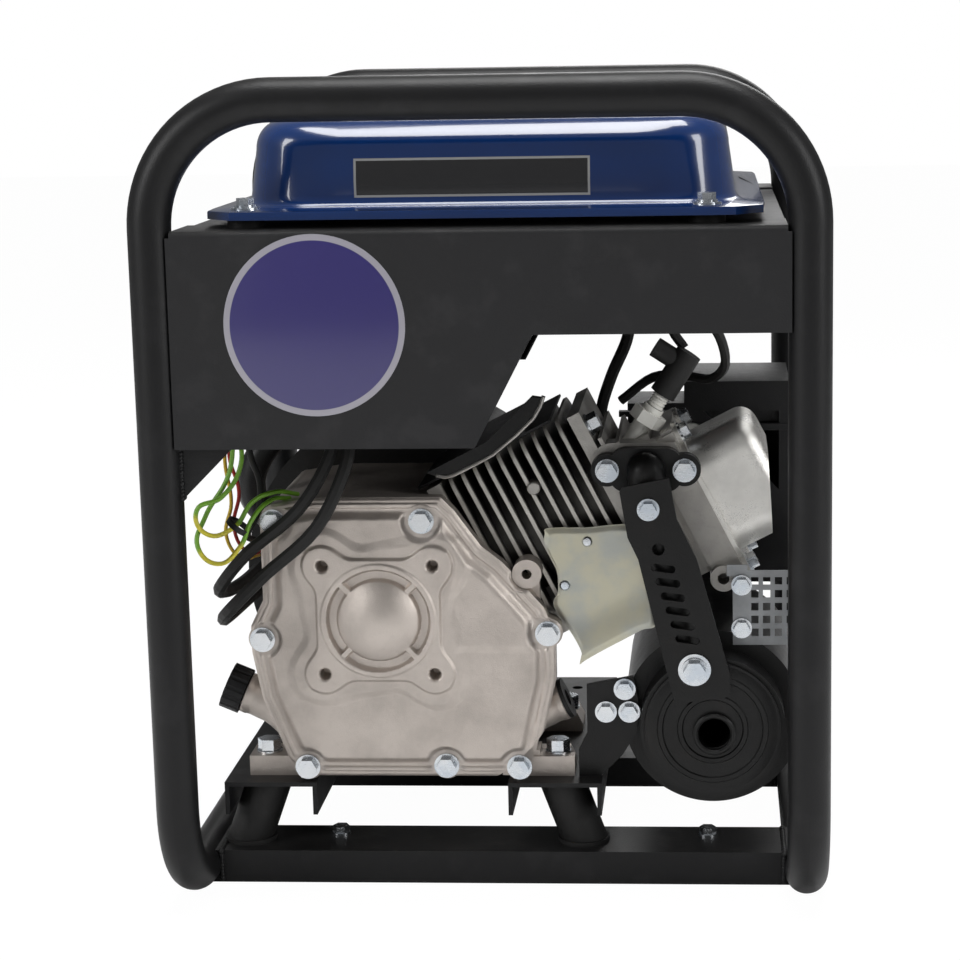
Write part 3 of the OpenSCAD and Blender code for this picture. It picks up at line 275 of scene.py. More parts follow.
def two_tone_wire(name, first, second):
    """Insulation with a stripe along it, from the sleeve's own UV."""
    f = Finish(name)
    across = f.node("ShaderNodeSeparateXYZ", {}, {"Vector": f.node("ShaderNodeTexCoord", {}, {}, "UV")}, "X")
    stripe = across.rise(0.38, 0.42) * (1.0 - across.rise(0.62, 0.66))
    f.put("Base Color", f.mix(stripe, first, second))
    f.put("Roughness", f.noise(300, 2.0) * 0.1 + 0.32)
    f.bump(f.noise(900, 1.0), 0.00008, 0.4)
    return f.material


def plain_label(name, colour, rim):
    """A bare round label: one plain colour with a thin plain rim, measured from its centre."""
    f = Finish(name, Coat_Weight=0.5, Coat_Roughness=0.12)
    low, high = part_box("front_end_panel")
    centred = f.node("ShaderNodeMapping", {}, {"Vector": f.place, "Location": (-LABEL_X, -low.y, -LABEL_Z)})
    out = f.node("ShaderNodeVectorMath", {"operation": "LENGTH"}, {0: centred}, "Value")
    f.put("Base Color", f.mix(out.rise(LABEL_R - 0.0042, LABEL_R - 0.0038), colour, rim))
    f.put("Roughness", f.noise(160, 2.0) * 0.08 + 0.26)
    f.bump(f.noise(90, 2.0), 0.00012, 0.3)
    return f.material


LABEL_X, LABEL_Z, LABEL_R = -0.1037, 0.3971, 0.0578  # the round label's middle and radius

FRAME_BLACK = powder_coat("frame_powder_coat", (0.0075, 0.0075, 0.0080), 0.36, 0.06)
PANEL_GREY = powder_coat("panel_powder_coat", (0.0155, 0.0155, 0.0165), 0.46, 0.12)
TANK_BLUE = gloss_enamel("tank_enamel", (0.0010, 0.024, 0.120), (-0.084, 0.069, 0.4735, 0.4985))
PLASTIC = moulded("black_moulding", (0.0055, 0.0055, 0.0060), rough=0.42)
RUBBER = moulded("black_rubber", (0.0115, 0.0112, 0.011), 700.0, 0.6)
ROPE = moulded("starter_rope_braid", (0.055, 0.052, 0.047), 2600.0, 0.62)
HOSE = moulded("hose_rubber", (0.010, 0.010, 0.010), 1400.0, 0.46)
RED = moulded("red_moulding", (0.45, 0.02, 0.015), 1500.0, 0.32, 0.00008)
WHITE = moulded("white_moulding", (0.72, 0.72, 0.68), 1500.0, 0.34, 0.00008)
CASE_ALLOY = cast_alloy("crankcase_alloy", (0.56, 0.505, 0.462), 1500.0, 0.82, 0.43, 0.30)
FIN_ALLOY = cast_alloy("fin_alloy", (0.42, 0.405, 0.38), 1800.0, 0.78, 0.42, 0.6)
# the last argument paints shade deep between the barrel's fins
BARREL_ALLOY = cast_alloy("barrel_alloy", (0.52, 0.50, 0.465), 1800.0, 0.70, 0.42, 0.6,
                          ((-0.0804, -0.060, 0.1912), 0.058, 0.059, LEAN))
STAMPED = cast_alloy("rocker_cover_alloy", (0.80, 0.785, 0.75), 2400.0, 0.95, 0.30, 0.06)
CARB_ALLOY = cast_alloy("carburettor_alloy", (0.52, 0.52, 0.50), 2000.0, 0.85, 0.36, 0.3)
ZINC = plated_steel("zinc_plate", (0.66, 0.68, 0.70), 0.24, (0.55, 0.60, 0.66))
STEEL = plated_steel("turned_steel", (0.46, 0.47, 0.48), 0.30)
SHIELD = plated_steel("dull_zinc_sheet", (0.30, 0.31, 0.32), 0.42)
OLIVE = plated_steel("olive_passivated", (0.50, 0.48, 0.375), 0.34, (0.42, 0.43, 0.40), 0.85)
BRASS = plated_steel("turned_brass", (0.68, 0.49, 0.20), 0.26)
COPPER = plated_steel("enamelled_copper", (0.55, 0.24, 0.11), 0.30)
HEATSINK = plated_steel("extruded_alloy", (0.56, 0.57, 0.58), 0.34)
EXHAUST = heat_black("exhaust_black")
CERAMIC = glazed("plug_ceramic", (0.80, 0.79, 0.74))
EARTH = two_tone_wire("earth_insulation", (0.16, 0.36, 0.03), (0.62, 0.55, 0.05))
RED_WIRE = moulded("red_insulation", (0.30, 0.012, 0.010), 1500.0, 0.36, 0.00005)
YELLOW_WIRE = moulded("yellow_insulation", (0.50, 0.34, 0.03), 1500.0, 0.36, 0.00005)
DIAL_WHITE = moulded("printed_white", (0.70, 0.70, 0.68), 2000.0, 0.5, 0.00003)
LABEL = plain_label("bare_round_label", (0.030, 0.024, 0.125), (0.30, 0.29, 0.33))

COATS = {
    FRAME_BLACK: "front_hoop rear_hoop side_rails cross_beams panel_gussets mount_channels",
    PANEL_GREY: "front_end_panel rear_end_panel tank_deck control_box control_panel",
    TANK_BLUE: "fuel_tank",
    PLASTIC: "weld_sockets current_knob ac_outlets switch_bodies output_meter fuel_cap dipstick"
             " recoil_cover recoil_handle choke_lever air_cleaner",
    RUBBER: "tank_bushes rubber_isolators output_cables ht_lead",
    HOSE: "fuel_hose oil_plug",
    RED: "engine_switch fuel_tap_lever",
    WHITE: "breaker_button recoil_pulley",
    CASE_ALLOY: "crankcase crankcase_cover",
    BARREL_ALLOY: "cylinder_barrel",
    FIN_ALLOY: "cylinder_head",
    STAMPED: "rocker_cover",
    CARB_ALLOY: "carburettor fuel_tap",
    ZINC: "cover_bolts engine_fixings foot_bolts tank_fixings",
    STEEL: "crankshaft piston rotor",
    SHIELD: "heat_shield",
    OLIVE: "heat_deflector",
    BRASS: "earth_terminal",
    COPPER: "stator",
    HEATSINK: "inverter_module",
    EXHAUST: "exhaust_elbow muffler muffler_strap muffler_bracket cooling_shroud fan_housing",
    CERAMIC: "spark_plug",
    EARTH: "earth_wires",
}
for coat, names in COATS.items():
    for name in names.split():
        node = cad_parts[name]
        if not node.material_slots:
            node.data.materials.append(coat)
        for place in node.material_slots:
            place.material = coat


# ---------- making pieces ----------
def piece(name, verts, faces, coat, body, smooth, replaced=()):
    """A closed piece from vertices in metres, its faces turned outward."""
    mesh = bpy.data.meshes.new(name)
    mesh.from_pydata([tuple(v) for v in verts], [], faces)
    work = bmesh.new()
    work.from_mesh(mesh)
    bmesh.ops.remove_doubles(work, verts=work.verts, dist=1e-6)
    bmesh.ops.recalc_face_normals(work, faces=work.faces)
    work.to_mesh(mesh)
    work.free()
    return finished(bpy.data.objects.new(name, mesh), coat, body, smooth, replaced)


def finished(thing, coat, body, smooth, replaced=()):
    """Puts a piece in the scene, with its finish, its body and slot, and edges sharp above smooth degrees."""
    scene.collection.objects.link(thing)
    thing.data.materials.clear()
    thing.data.materials.append(coat)
    if smooth:
        thing.data.shade_smooth()
        thing.data.set_sharp_from_angle(angle=math.radians(smooth))
    if body:
        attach(thing, body)
    if replaced:
        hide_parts(*replaced)
    return thing


def bands(rings, sides, base=0, closed=False):
    """Quads between rings of vertices that follow one another; closed joins the last ring to the first."""
    faces = []
    for i in range(rings if closed else rings - 1):
        j = (i + 1) % rings
        for k in range(sides):
            m = (k + 1) % sides
            faces.append(tuple(base + v for v in (i * sides + k, i * sides + m, j * sides + m, j * sides + k)))
    return faces


def lathe(profile, origin, axis, sides=64, closed=True):
    """Vertices and faces of a profile of (radius, along) turned about an axis through origin."""
    axis = Vector(axis).normalized()
    across = axis.orthogonal().normalized()
    other = axis.cross(across)
    verts = []
    for radius, along in profile:
        for k in range(sides):
            a = math.tau * k / sides
            verts.append(Vector(origin) + axis * along + (across * math.cos(a) + other * math.sin(a)) * radius)
    return verts, bands(len(profile), sides, 0, closed)


def turned(name, profile, at, axis, sides, coat, smooth, closed=True):
    """A turned piece on the frame. Its profile and place are in millimetres."""
    verts, faces = lathe(profile, at, axis, sides, closed)
    return piece(name, [v * MM for v in verts], faces, coat, "frame", smooth)


def on_cylinder(s, t, y):
    """Millimetres: s along the tilted cylinder from the crank axis, t across it, y along the crank."""
    return Vector((CRANK_X + s * math.cos(LEAN) - t * math.sin(LEAN), y,
                   CRANK_Z + s * math.sin(LEAN) + t * math.cos(LEAN)))


def swept(points, radius, sides=10, steps=8):
    """A round sleeve through points, with its caps, and its UV as (round, along)."""
    curve = bpy.data.curves.new("sleeve", "CURVE")
    curve.dimensions = "3D"
    line = curve.splines.new("BEZIER")
    line.bezier_points.add(len(points) - 1)
    for knot, point in zip(line.bezier_points, points):
        knot.co = point
        knot.handle_left_type = knot.handle_right_type = "AUTO"
    curve.resolution_u = steps
    curve.bevel_depth = radius
    curve.bevel_resolution = max(1, sides // 4)
    curve.use_fill_caps = True
    holder = bpy.data.objects.new("sleeve", curve)
    scene.collection.objects.link(holder)
    mesh = bpy.data.meshes.new_from_object(holder.evaluated_get(bpy.context.evaluated_depsgraph_get()))
    bpy.data.objects.remove(holder)
    bpy.data.curves.remove(curve)
    return mesh


def sleeve(name, points, radius, coat):
    """A wire or sleeve on the frame, through points in millimetres."""
    thing = bpy.data.objects.new(name, swept([Vector(p) * MM for p in points], radius * MM))
    return finished(thing, coat, "frame", 60)


# ---------- tank ----------
def rounded_ring(half_w, half_l, corner, z, centre, per_corner=14, per_side=22):
    """A rectangle with rounded corners, as a ring of points round centre at height z."""
    ring = []
    for quarter, (sx, sy) in enumerate(((1, 1), (-1, 1), (-1, -1), (1, -1))):
        base = quarter * math.pi / 2
        cx, cy = sx * (half_w - corner), sy * (half_l - corner)
        for k in range(per_corner):
            a = base + math.pi / 2 * k / per_corner
            ring.append(Vector((cx + corner * math.cos(a), cy + corner * math.sin(a), z)))
        a = base + math.pi / 2
        start = Vector((cx + corner * math.cos(a), cy + corner * math.sin(a), z))
        nx, ny = ((-1, 1), (-1, -1), (1, -1), (1, 1))[quarter]
        end = Vector((nx * (half_w - corner) + corner * math.cos(a), ny * (half_l - corner) + corner * math.sin(a), z))
        ring += [start.lerp(end, k / per_side) for k in range(per_side)]
    return [p + Vector((centre.x, centre.y, 0)) for p in ring]


FLANGE_Z, TANK_TOP = 0.468, 0.528  # top of the tank's flange, and of its body
TANK_HALF_W, TANK_HALF_L, TANK_CORNER = 0.1605, 0.1605, 0.044


def smoothed(t):
    t = min(1.0, max(0.0, t))
    return t * t * (3 - 2 * t)


def tank_rings(centre):
    """The drawn body from the flange up: foot fillet, drafted wall, rolled shoulder, crowned top."""
    def ring(inset, z, corner):
        return rounded_ring(TANK_HALF_W - inset, TANK_HALF_L - inset, corner, FLANGE_Z + z, centre)

    wall_top, draft, shoulder, shoulder_rise, shoulder_steps = 0.036, 0.0040, 0.016, 0.0185, 12
    rings = [ring(-out, z, TANK_CORNER + out) for out, z in (
        (0.0052, 0), (0.0030, 0.0006), (0.0014, 0.0020), (0.0005, 0.0042), (0.0, 0.0075),
        (-0.0012, 0.016), (-0.0026, 0.026), (-draft, wall_top))]
    for k in range(1, shoulder_steps + 1):
        a = math.pi / 2 * k / shoulder_steps
        inset = draft + shoulder * (1 - math.cos(a))
        rings.append(ring(inset, wall_top + shoulder_rise * math.sin(a), TANK_CORNER - inset))
    rings += [ring(inset, z, max(0.042 - inset * 0.3, 0.01)) for inset, z in (
        (0.030, 0.0552), (0.050, 0.0562), (0.080, 0.0572), (0.110, 0.0580), (0.140, 0.0584))]
    return rings


def pressed(p, centre):
    """Raised field on the tank's front and rear walls, and two ribs along its top."""
    field_half_w, field_raise, field_low, field_high, edge = 0.1205, 0.0026, 0.006, 0.05, 0.006
    rib_x, rib_half_w, rib_depth, rib_half_l = 0.075, 0.012, 0.0035, 0.125
    x, y, z = p.x - centre.x, p.y, p.z - FLANGE_Z
    if field_low < z < field_high and abs(y) > 0.10:
        step = min(1.0, (z - field_low) / edge) * min(1.0, (field_high - z) / edge)
        p.y += math.copysign(field_raise * smoothed((field_half_w - abs(x)) / 0.016) * step, y)
    if z > 0.0545:
        for rib in (-rib_x, rib_x):
            reach = min(1.0, max(0.0, (rib_half_l - abs(y)) / 0.02))
            p.z -= rib_depth * smoothed(1 - abs(x - rib) / rib_half_w) * reach
    return p


def flange_rim(grow, z, centre):
    """The flange's edge drawn in by grow: a rectangle with clipped corners."""
    w, l, c = 0.179 - grow, 0.202 - grow, 0.020 - 0.59 * grow
    corners = [(w, -l + c), (w, l - c), (w - c, l), (-w + c, l), (-w, l - c), (-w, -l + c), (-w + c, -l), (w - c, -l)]
    ring = []
    for i, a in enumerate(corners):
        b = corners[(i + 1) % 8]
        ring += [Vector((a[0] + (b[0] - a[0]) * t, a[1] + (b[1] - a[1]) * t, z)) for t in (0.06, 0.5, 0.94)]
    return [p + Vector((centre.x, centre.y, 0)) for p in ring]


def tank_shell():
    """The fuel tank's outer skin, and the filler neck under its cap."""
    low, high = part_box("fuel_tank")
    centre = (low + high) / 2
    under, lip_foot = FLANGE_Z - 0.0014, FLANGE_Z - 0.0054
    rings = tank_rings(centre)
    n = len(rings[0])
    verts = [pressed(p, centre) for ring in rings for p in ring]
    faces = bands(len(rings), n)
    last = (len(rings) - 1) * n
    verts.append(Vector((centre.x, centre.y, FLANGE_Z + 0.0585)))
    faces += [(last + k, last + (k + 1) % n, len(verts) - 1) for k in range(n)]

    lip = [flange_rim(grow, z, centre) for grow, z in (
        (0.012, under), (0.0014, under), (0.0014, lip_foot), (0.0, lip_foot), (0.0, FLANGE_Z - 0.0012),
        (0.0004, FLANGE_Z - 0.0003), (0.0013, FLANGE_Z))]
    base = len(verts)
    m = len(lip[0])
    verts += [p for ring in lip for p in ring]
    faces += bands(len(lip), m, base)

    def bearing(v):
        return math.atan2(verts[v].y - centre.y, verts[v].x - centre.x)

    # flat of the flange between the rim and the body, matched by bearing
    outer = sorted((base + (len(lip) - 1) * m + k for k in range(m)), key=bearing)
    inner = sorted(range(n), key=bearing)
    i = k = 0
    while i < n or k < m:
        a, b = inner[i % n], outer[k % m]
        step_in = bearing(inner[(i + 1) % n]) + (math.tau if i + 1 >= n else 0)
        step_out = bearing(outer[(k + 1) % m]) + (math.tau if k + 1 >= m else 0)
        if (step_in <= step_out and i < n) or k >= m:
            faces.append((a, b, inner[(i + 1) % n]))
            i += 1
        else:
            faces.append((a, b, outer[(k + 1) % m]))
            k += 1
    verts.append(Vector((centre.x, centre.y, under)))
    faces += [(base + k, len(verts) - 1, base + (k + 1) % m) for k in range(m)]
    piece("tank_shell", verts, faces, TANK_BLUE, "frame", 32, ("fuel_tank",))

    cap_low, cap_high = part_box("fuel_cap")
    cap = (cap_low + cap_high) / 2
    v, f = lathe([(0.0215, -0.006), (0.0245, -0.006), (0.0265, 0.0002), (0.0245, 0.0012), (0.0238, 0.0030),
                  (0.0215, 0.0034)], (cap.x, cap.y, TANK_TOP), (0, 0, 1))
    piece("filler_neck", v, f, TANK_BLUE, "frame", 40)


def round_label():
    """A plain round label on the front panel, in place of a printed one."""
    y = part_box("front_end_panel")[0].y
    v, f = lathe([(0.0, -0.00022), (LABEL_R - 0.0003, -0.00022), (LABEL_R, -0.0001), (LABEL_R, 0.0), (0.0, 0.0)],
                 (LABEL_X, y, LABEL_Z), (0, 1, 0), 96, False)
    piece("round_label", v, f, LABEL, "frame", 30)


# ---------- what repeats: grown with geometry nodes ----------
def grown(name, seed, steps, sizes, coat, body, smooth=30):
    """A piece grown from a seed mesh. steps(tree, inputs) returns the instances' socket."""
    tree = bpy.data.node_groups.new(name, "GeometryNodeTree")
    tree.interface.new_socket("Geometry", in_out="INPUT", socket_type="NodeSocketGeometry")
    tree.interface.new_socket("Geometry", in_out="OUTPUT", socket_type="NodeSocketGeometry")
    for label in sizes:
        tree.interface.new_socket(label, in_out="INPUT", socket_type="NodeSocketFloat")
    start, end = tree.nodes.new("NodeGroupInput"), tree.nodes.new("NodeGroupOutput")
    real, dress = tree.nodes.new("GeometryNodeRealizeInstances"), tree.nodes.new("GeometryNodeSetMaterial")
    dress.inputs["Material"].default_value = coat
    tree.links.new(steps(tree, start.outputs), real.inputs[0])
    tree.links.new(real.outputs[0], dress.inputs[0])
    tree.links.new(dress.outputs[0], end.inputs[0])
    holder = bpy.data.objects.new(name + "_seed", seed)
    scene.collection.objects.link(holder)
    growth = holder.modifiers.new("growth", "NODES")
    growth.node_group = tree
    for item in tree.interface.items_tree:
        if item.in_out == "INPUT" and item.name in sizes:
            growth[item.identifier] = sizes[item.name]
    mesh = bpy.data.meshes.new_from_object(holder.evaluated_get(bpy.context.evaluated_depsgraph_get()))
    holder.modifiers.remove(growth)
    bpy.data.objects.remove(holder)
    return finished(bpy.data.objects.new(name, mesh), coat, body, smooth)


def add_node(tree, kind, settings=None, **sockets):
    """Adds a geometry node; sockets are constants or other nodes' sockets, by input name."""
    made = tree.nodes.new(kind)
    for key, value in (settings or {}).items():
        setattr(made, key, value)
    for key, value in sockets.items():
        target = made.inputs[key.replace("_", " ")]
        if isinstance(value, bpy.types.NodeSocket):
            tree.links.new(value, target)
        else:
            target.default_value = value
    return made


def seed_lines(runs):
    """A mesh of open runs of edges, in metres from millimetres."""
    verts, edges = [], []
    for run in runs:
        base = len(verts)
        verts += [tuple(c * MM for c in p) for p in run]
        edges += [(base + i, base + i + 1) for i in range(len(run) - 1)]
    mesh = bpy.data.meshes.new("seed")
    mesh.from_pydata(verts, edges, [])
    return mesh


def weld_bead(name, runs, coat, body):
    """Overlapping weld ripples along runs of points."""
    def steps(tree, sizes):
        path = add_node(tree, "GeometryNodeMeshToCurve", None, Mesh=sizes["Geometry"])
        beads = add_node(tree, "GeometryNodeResampleCurve", {"mode": "LENGTH"}, Curve=path.outputs[0],
                         Length=sizes["Ripple Pitch"])
        drop = add_node(tree, "GeometryNodeMeshIcoSphere", None, Radius=sizes["Bead Radius"], Subdivisions=2)
        jitter = add_node(tree, "FunctionNodeRandomValue", {"data_type": "FLOAT"}, Seed=7)
        jitter.inputs[2].default_value, jitter.inputs[3].default_value = 0.86, 1.12
        set_on = add_node(tree, "GeometryNodeInstanceOnPoints", None, Points=beads.outputs[0],
                          Instance=drop.outputs["Mesh"])
        tree.links.new(jitter.outputs[1], set_on.inputs["Scale"])
        return set_on.outputs[0]
    return grown(name, seed_lines(runs), steps, {"Ripple Pitch": 0.0023, "Bead Radius": 0.0021}, coat, body, 60)


def bolt_ring(name, centre, ring, count, head, coat, body, towards=1):
    """Hexagon heads with washers on a ring about an axis along Y. Sizes in millimetres."""
    def steps(tree, sizes):
        circle = add_node(tree, "GeometryNodeMeshCircle", None, Vertices=count, Radius=sizes["Ring Radius"])
        hexagon = add_node(tree, "GeometryNodeMeshCylinder", None, Vertices=6, Radius=sizes["Head Radius"],
                           Depth=sizes["Head Height"])
        collar = add_node(tree, "GeometryNodeMeshCylinder", None, Vertices=28, Radius=sizes["Washer Radius"],
                          Depth=1.6 * MM)
        lift = add_node(tree, "GeometryNodeTransform", None, Geometry=hexagon.outputs["Mesh"],
                        Translation=(0, 0, head * 0.45 * MM))
        both = tree.nodes.new("GeometryNodeJoinGeometry")
        tree.links.new(lift.outputs[0], both.inputs[0])
        tree.links.new(collar.outputs["Mesh"], both.inputs[0])
        set_on = add_node(tree, "GeometryNodeInstanceOnPoints", None, Points=circle.outputs[0],
                          Instance=both.outputs[0])
        turn = add_node(tree, "GeometryNodeTransform", None, Geometry=set_on.outputs[0],
                        Rotation=(-towards * math.pi / 2, 0, 0), Translation=tuple(c * MM for c in centre))
        return turn.outputs[0]
    sizes = {"Ring Radius": ring * MM, "Head Radius": head * 0.577 * MM, "Head Height": head * 0.55 * MM,
             "Washer Radius": head * 0.85 * MM}
    return grown(name, seed_lines([[(0, 0, 0)]]), steps, sizes, coat, body, 30)


def spring_coil(name, start, end, radius, wire, turns, coat, body):
    """A small tension spring between two points, swept round a helix."""
    def steps(tree, sizes):
        helix = add_node(tree, "GeometryNodeCurveSpiral", None, Resolution=20, Rotations=float(turns),
                         Start_Radius=sizes["Coil Radius"], End_Radius=sizes["Coil Radius"],
                         Height=sizes["Coil Height"])
        ring = add_node(tree, "GeometryNodeCurvePrimitiveCircle", None, Resolution=8, Radius=sizes["Wire Radius"])
        tube = add_node(tree, "GeometryNodeCurveToMesh", None, Curve=helix.outputs[0],
                        Profile_Curve=ring.outputs[0], Fill_Caps=True)
        aim = (Vector(end) - Vector(start)).to_track_quat("Z", "Y").to_euler()
        turn = add_node(tree, "GeometryNodeTransform", None, Geometry=tube.outputs[0], Rotation=tuple(aim),
                        Translation=tuple(c * MM for c in start))
        return turn.outputs[0]
    span = (Vector(end) - Vector(start)).length * MM
    sizes = {"Coil Radius": radius * MM, "Coil Height": span, "Wire Radius": wire * MM}
    return grown(name, seed_lines([[(0, 0, 0)]]), steps, sizes, coat, body, 60)


# ---------- crankcase cover, in millimetres about the crank axis ----------
COVER_EDGE = ((-73, 78), (-44, 83), (43, 83), (52, 74), (70, 49), (84, 38), (112, 6), (119, -14), (119, -44),
              (115, -60), (106, -100), (99, -112), (-54, -112), (-66, -100), (-83, -56), (-89, -24), (-89, -6),
              (-80, 12), (-80, 68))
COVER_BOLTS = ((-71, 67), (30, 67), (-81, -15), (114, -11), (-53, -105), (43, -104), (93, -105))
BOSS_X, BOSS_Z, BOSS_R = 100, 29, 10.3  # the threaded shoulder boss, which the cover leaves free
PAD_HOLE = 37.5  # the pad's four holes, out from the crank axis in x and in z


def ease(value, low, high):
    t = np.clip((value - low) / (high - low), 0.0, 1.0)
    return t * t * (3 - 2 * t)


def inside_edge(x, z):
    """Distance inside the cover's straight-sided outline, negative outside."""
    nearest = np.full(x.shape, 1e9)
    within = np.zeros(x.shape, bool)
    for i, (ax, az) in enumerate(COVER_EDGE):
        bx, bz = COVER_EDGE[(i + 1) % len(COVER_EDGE)]
        t = np.clip(((x - ax) * (bx - ax) + (z - az) * (bz - az)) / ((bx - ax) ** 2 + (bz - az) ** 2), 0, 1)
        nearest = np.minimum(nearest, np.hypot(x - ax - t * (bx - ax), z - az - t * (bz - az)))
        crosses = (az > z) != (bz > z)
        within ^= crosses & (x < (bx - ax) * (z - az) / (bz - az + 1e-9) + ax)
    return np.where(within, nearest, -nearest)


def to_bolts(x, z):
    return np.min([np.hypot(x - bx, z - bz) for bx, bz in COVER_BOLTS], axis=0)


def inside_cover(x, z):
    """Distance inside the casting's outline: the edge, a lug round each bolt, and room for the boss."""
    lug = 10.0
    whole = np.maximum(inside_edge(x, z), lug - to_bolts(x, z))
    return np.minimum(whole, np.hypot(x - BOSS_X, z - BOSS_Z) - BOSS_R)


def belly_height(x, z, edge, bolts):
    """The joint wall, its bead, and the swollen middle of the cover with its soft steps."""
    wall = 12
    bead = 1.3 * ease(edge, 3.5, 4.6) * (1 - ease(edge, 6.4, 7.6)) * ease(bolts, 10.5, 12)
    shoulder = 4.2 * ease(edge, 9.0, 15) * ease(bolts, 10.8, 15)
    sump = 0.9 * ease(-z, -4, 30) * ease(edge, 14, 40)
    gallery = 1.2 * ease(x - 52, -3, 3) * ease(z + 20, -4, 2) * ease(edge, 12, 18)
    return wall + bead + shoulder + sump + gallery


def pad_distance(x, z, holes):
    """Distance outside the machined pad: a square blended into a lobe round each hole."""
    lobe, half_side, soft = 13.0, 41.5, 9.0
    lobes = holes - lobe
    square = np.maximum(np.abs(x), np.abs(z)) - half_side
    blend = np.clip(0.5 + 0.5 * (square - lobes) / soft, 0, 1)
    return square * (1 - blend) + lobes * blend - soft * blend * (1 - blend)


def cover_height(x, z):
    """How far the casting stands in front of its joint face."""
    pad_top, groove_floor, spoke = 21.0, 17.2, 4.6
    dome_ball, dome_sink, dome_edge = 47.5, 38, 29.0
    r = np.hypot(x, z)
    edge, bolts = inside_edge(x, z), to_bolts(x, z)
    holes = np.hypot(np.abs(x) - PAD_HOLE, np.abs(z) - PAD_HOLE)
    pad = pad_distance(x, z, holes)
    ripple = 1.6 * np.sin(np.arctan2(z, x) * 8)
    height = belly_height(x, z, edge, bolts) + 1.8 * ease(-pad, -13 + ripple, -6 + ripple) * ease(edge, 3, 9)
    height = height + (pad_top - height) * ease(-pad, -1.6, 0.4)
    height = height + 1.3 * ease(r, 34.8, 35.8) * (1 - ease(r, 38.6, 39.8))
    height = np.where(r < 35.4, groove_floor + (height - groove_floor) * ease(r, 33.6, 35.4), height)
    across = np.minimum(np.abs(x - z), np.abs(x + z)) / math.sqrt(2)
    spokes = groove_floor + spoke * (1 - ease(across, 1.5, 3.1))
    height = np.where(r < 36, np.maximum(height, spokes), height)
    dome = pad_top + np.sqrt(np.maximum(dome_ball ** 2 - r * r, 0)) - dome_sink
    height = np.where(r < dome_edge, height + (np.maximum(height, dome) - height) * (1 - ease(r, 27.4, 28.8)), height)
    height = height - 1.0 * (1 - ease(holes, 3.9, 5.0)) - 13.0 * (1 - ease(holes, 3.0, 3.7))
    return height - 1.6 * (1 - ease(inside_cover(x, z), 0, 2.0))


def cover_casting():
    """The cover as rings of points from its middle to its outline, then back to the joint face."""
    sides, rings, farthest, inner_share, wall_depth = 520, 150, 135.0, 0.004, 6.0
    angle = np.arange(sides) * math.tau / sides
    reach = np.full(sides, farthest)
    ux, uz = np.cos(angle), np.sin(angle)
    finest = 0.05
    for step in (1.0, 0.25, finest):
        outside = np.ones(sides, bool)
        while outside.any():
            outside = inside_cover(ux * reach, uz * reach) < 0
            reach = np.where(outside, reach - step, reach)
        reach += step
    reach -= finest
    share = np.linspace(inner_share, 1.0, rings)[:, None]
    x, z = share * reach * ux, share * reach * uz
    y = cover_height(x, z)

    def place(a, forward, b):
        return ((CRANK_X + a) * MM, (FRONT_FACE - forward) * MM, (CRANK_Z + b) * MM)

    verts = [place(a, h, b) for a, b, h in zip(x.ravel(), z.ravel(), y.ravel())]
    for depth in (wall_depth, 0.0):
        verts += [place(a, depth, b) for a, b in zip(x[-1], z[-1])]
    rings += 2
    faces = bands(rings, sides)
    verts += [place(0, float(y[0].mean()), 0), place(0, 0, 0)]
    middle, back = len(verts) - 2, len(verts) - 1
    faces += [(middle, (k + 1) % sides, k) for k in range(sides)]
    last = (rings - 1) * sides
    faces += [(last + k, last + (k + 1) % sides, back) for k in range(sides)]
    piece("cover_casting", verts, faces, CASE_ALLOY, "frame", 50, ("crankcase_cover",))


def oil_neck(name, at, side):
    """A bored oil neck with a rolled mouth, leaning out of the cover's lower corner."""
    lean = math.radians(90 - 23)
    turned(name, [(10.4, -14), (19.5, -14), (18.0, -2), (15.2, 6), (14.0, 11), (13.4, 22), (13.6, 24.5), (14.1, 25.2),
                  (14.1, 29.4), (13.5, 30.0), (10.9, 30.0), (10.4, 29.2)],
           at, (side * math.sin(lean), 0, math.cos(lean)), 48, CASE_ALLOY, 40)


# ---------- small fittings ----------
def fin_rim():
    """Bright cast edge of the cowl above the fins, and a cast pin among them."""
    line = [(77, 66.5), (82, 62.5), (88, 61.2), (104, 61.0), (118, 61.3), (138, 65.8), (154, 70.6), (162, 75.5),
            (167, 80.5)]
    section = ((-1.3, -119.7), (-1.0, -121.0), (0.0, -121.5), (1.0, -121.0), (1.3, -119.7), (1.3, -114.0),
               (-1.3, -114.0))
    verts = []
    for i, (s, t) in enumerate(line):
        a, b = line[max(i - 1, 0)], line[min(i + 1, len(line) - 1)]
        run = Vector((b[0] - a[0], b[1] - a[1])).normalized()
        verts += [on_cylinder(s - run.y * off, t + run.x * off, y) * MM for off, y in section]
    m, rings = len(section), len(line)
    faces = bands(rings, m) + [tuple(range(m)), tuple(range((rings - 1) * m, rings * m))]
    piece("cowl_rim", verts, faces, FIN_ALLOY, "frame", 40)
    turned("fin_pin", [(0.0, -2.6), (3.6, -2.6), (4.3, -2.0), (4.6, 0.0), (4.6, 14.0), (0.0, 14.0)],
           (25.5, -118.5, 273.5), (0, 1, 0), 28, FIN_ALLOY, 35, False)


def muffler_face():
    """Pressed rings of the muffler's front disc and the lip of its outlet."""
    rings = [(13.2, -0.3), (20, -0.3), (20.8, -1.3), (23.4, -1.5), (24.2, -0.4), (33.4, -0.4), (34.2, -1.6),
             (37.0, -1.7), (37.8, -0.4), (43.6, -0.35), (45.6, 0.5), (46.2, 2.0), (44.0, 2.0), (13.2, 0.2)]
    lip = [(11.2, -3.2), (12.0, -4.1), (13.4, -4.1), (14.4, -3.2), (14.2, -1.6), (13.1, 0.0), (13.1, 6.0), (11.2, 6.0)]
    turned("muffler_face", rings, (146, -148, 113), (0, 1, 0), 96, EXHAUST, 35)
    turned("outlet_lip", lip, (147, -148, 110), (0, 1, 0), 56, EXHAUST, 35)


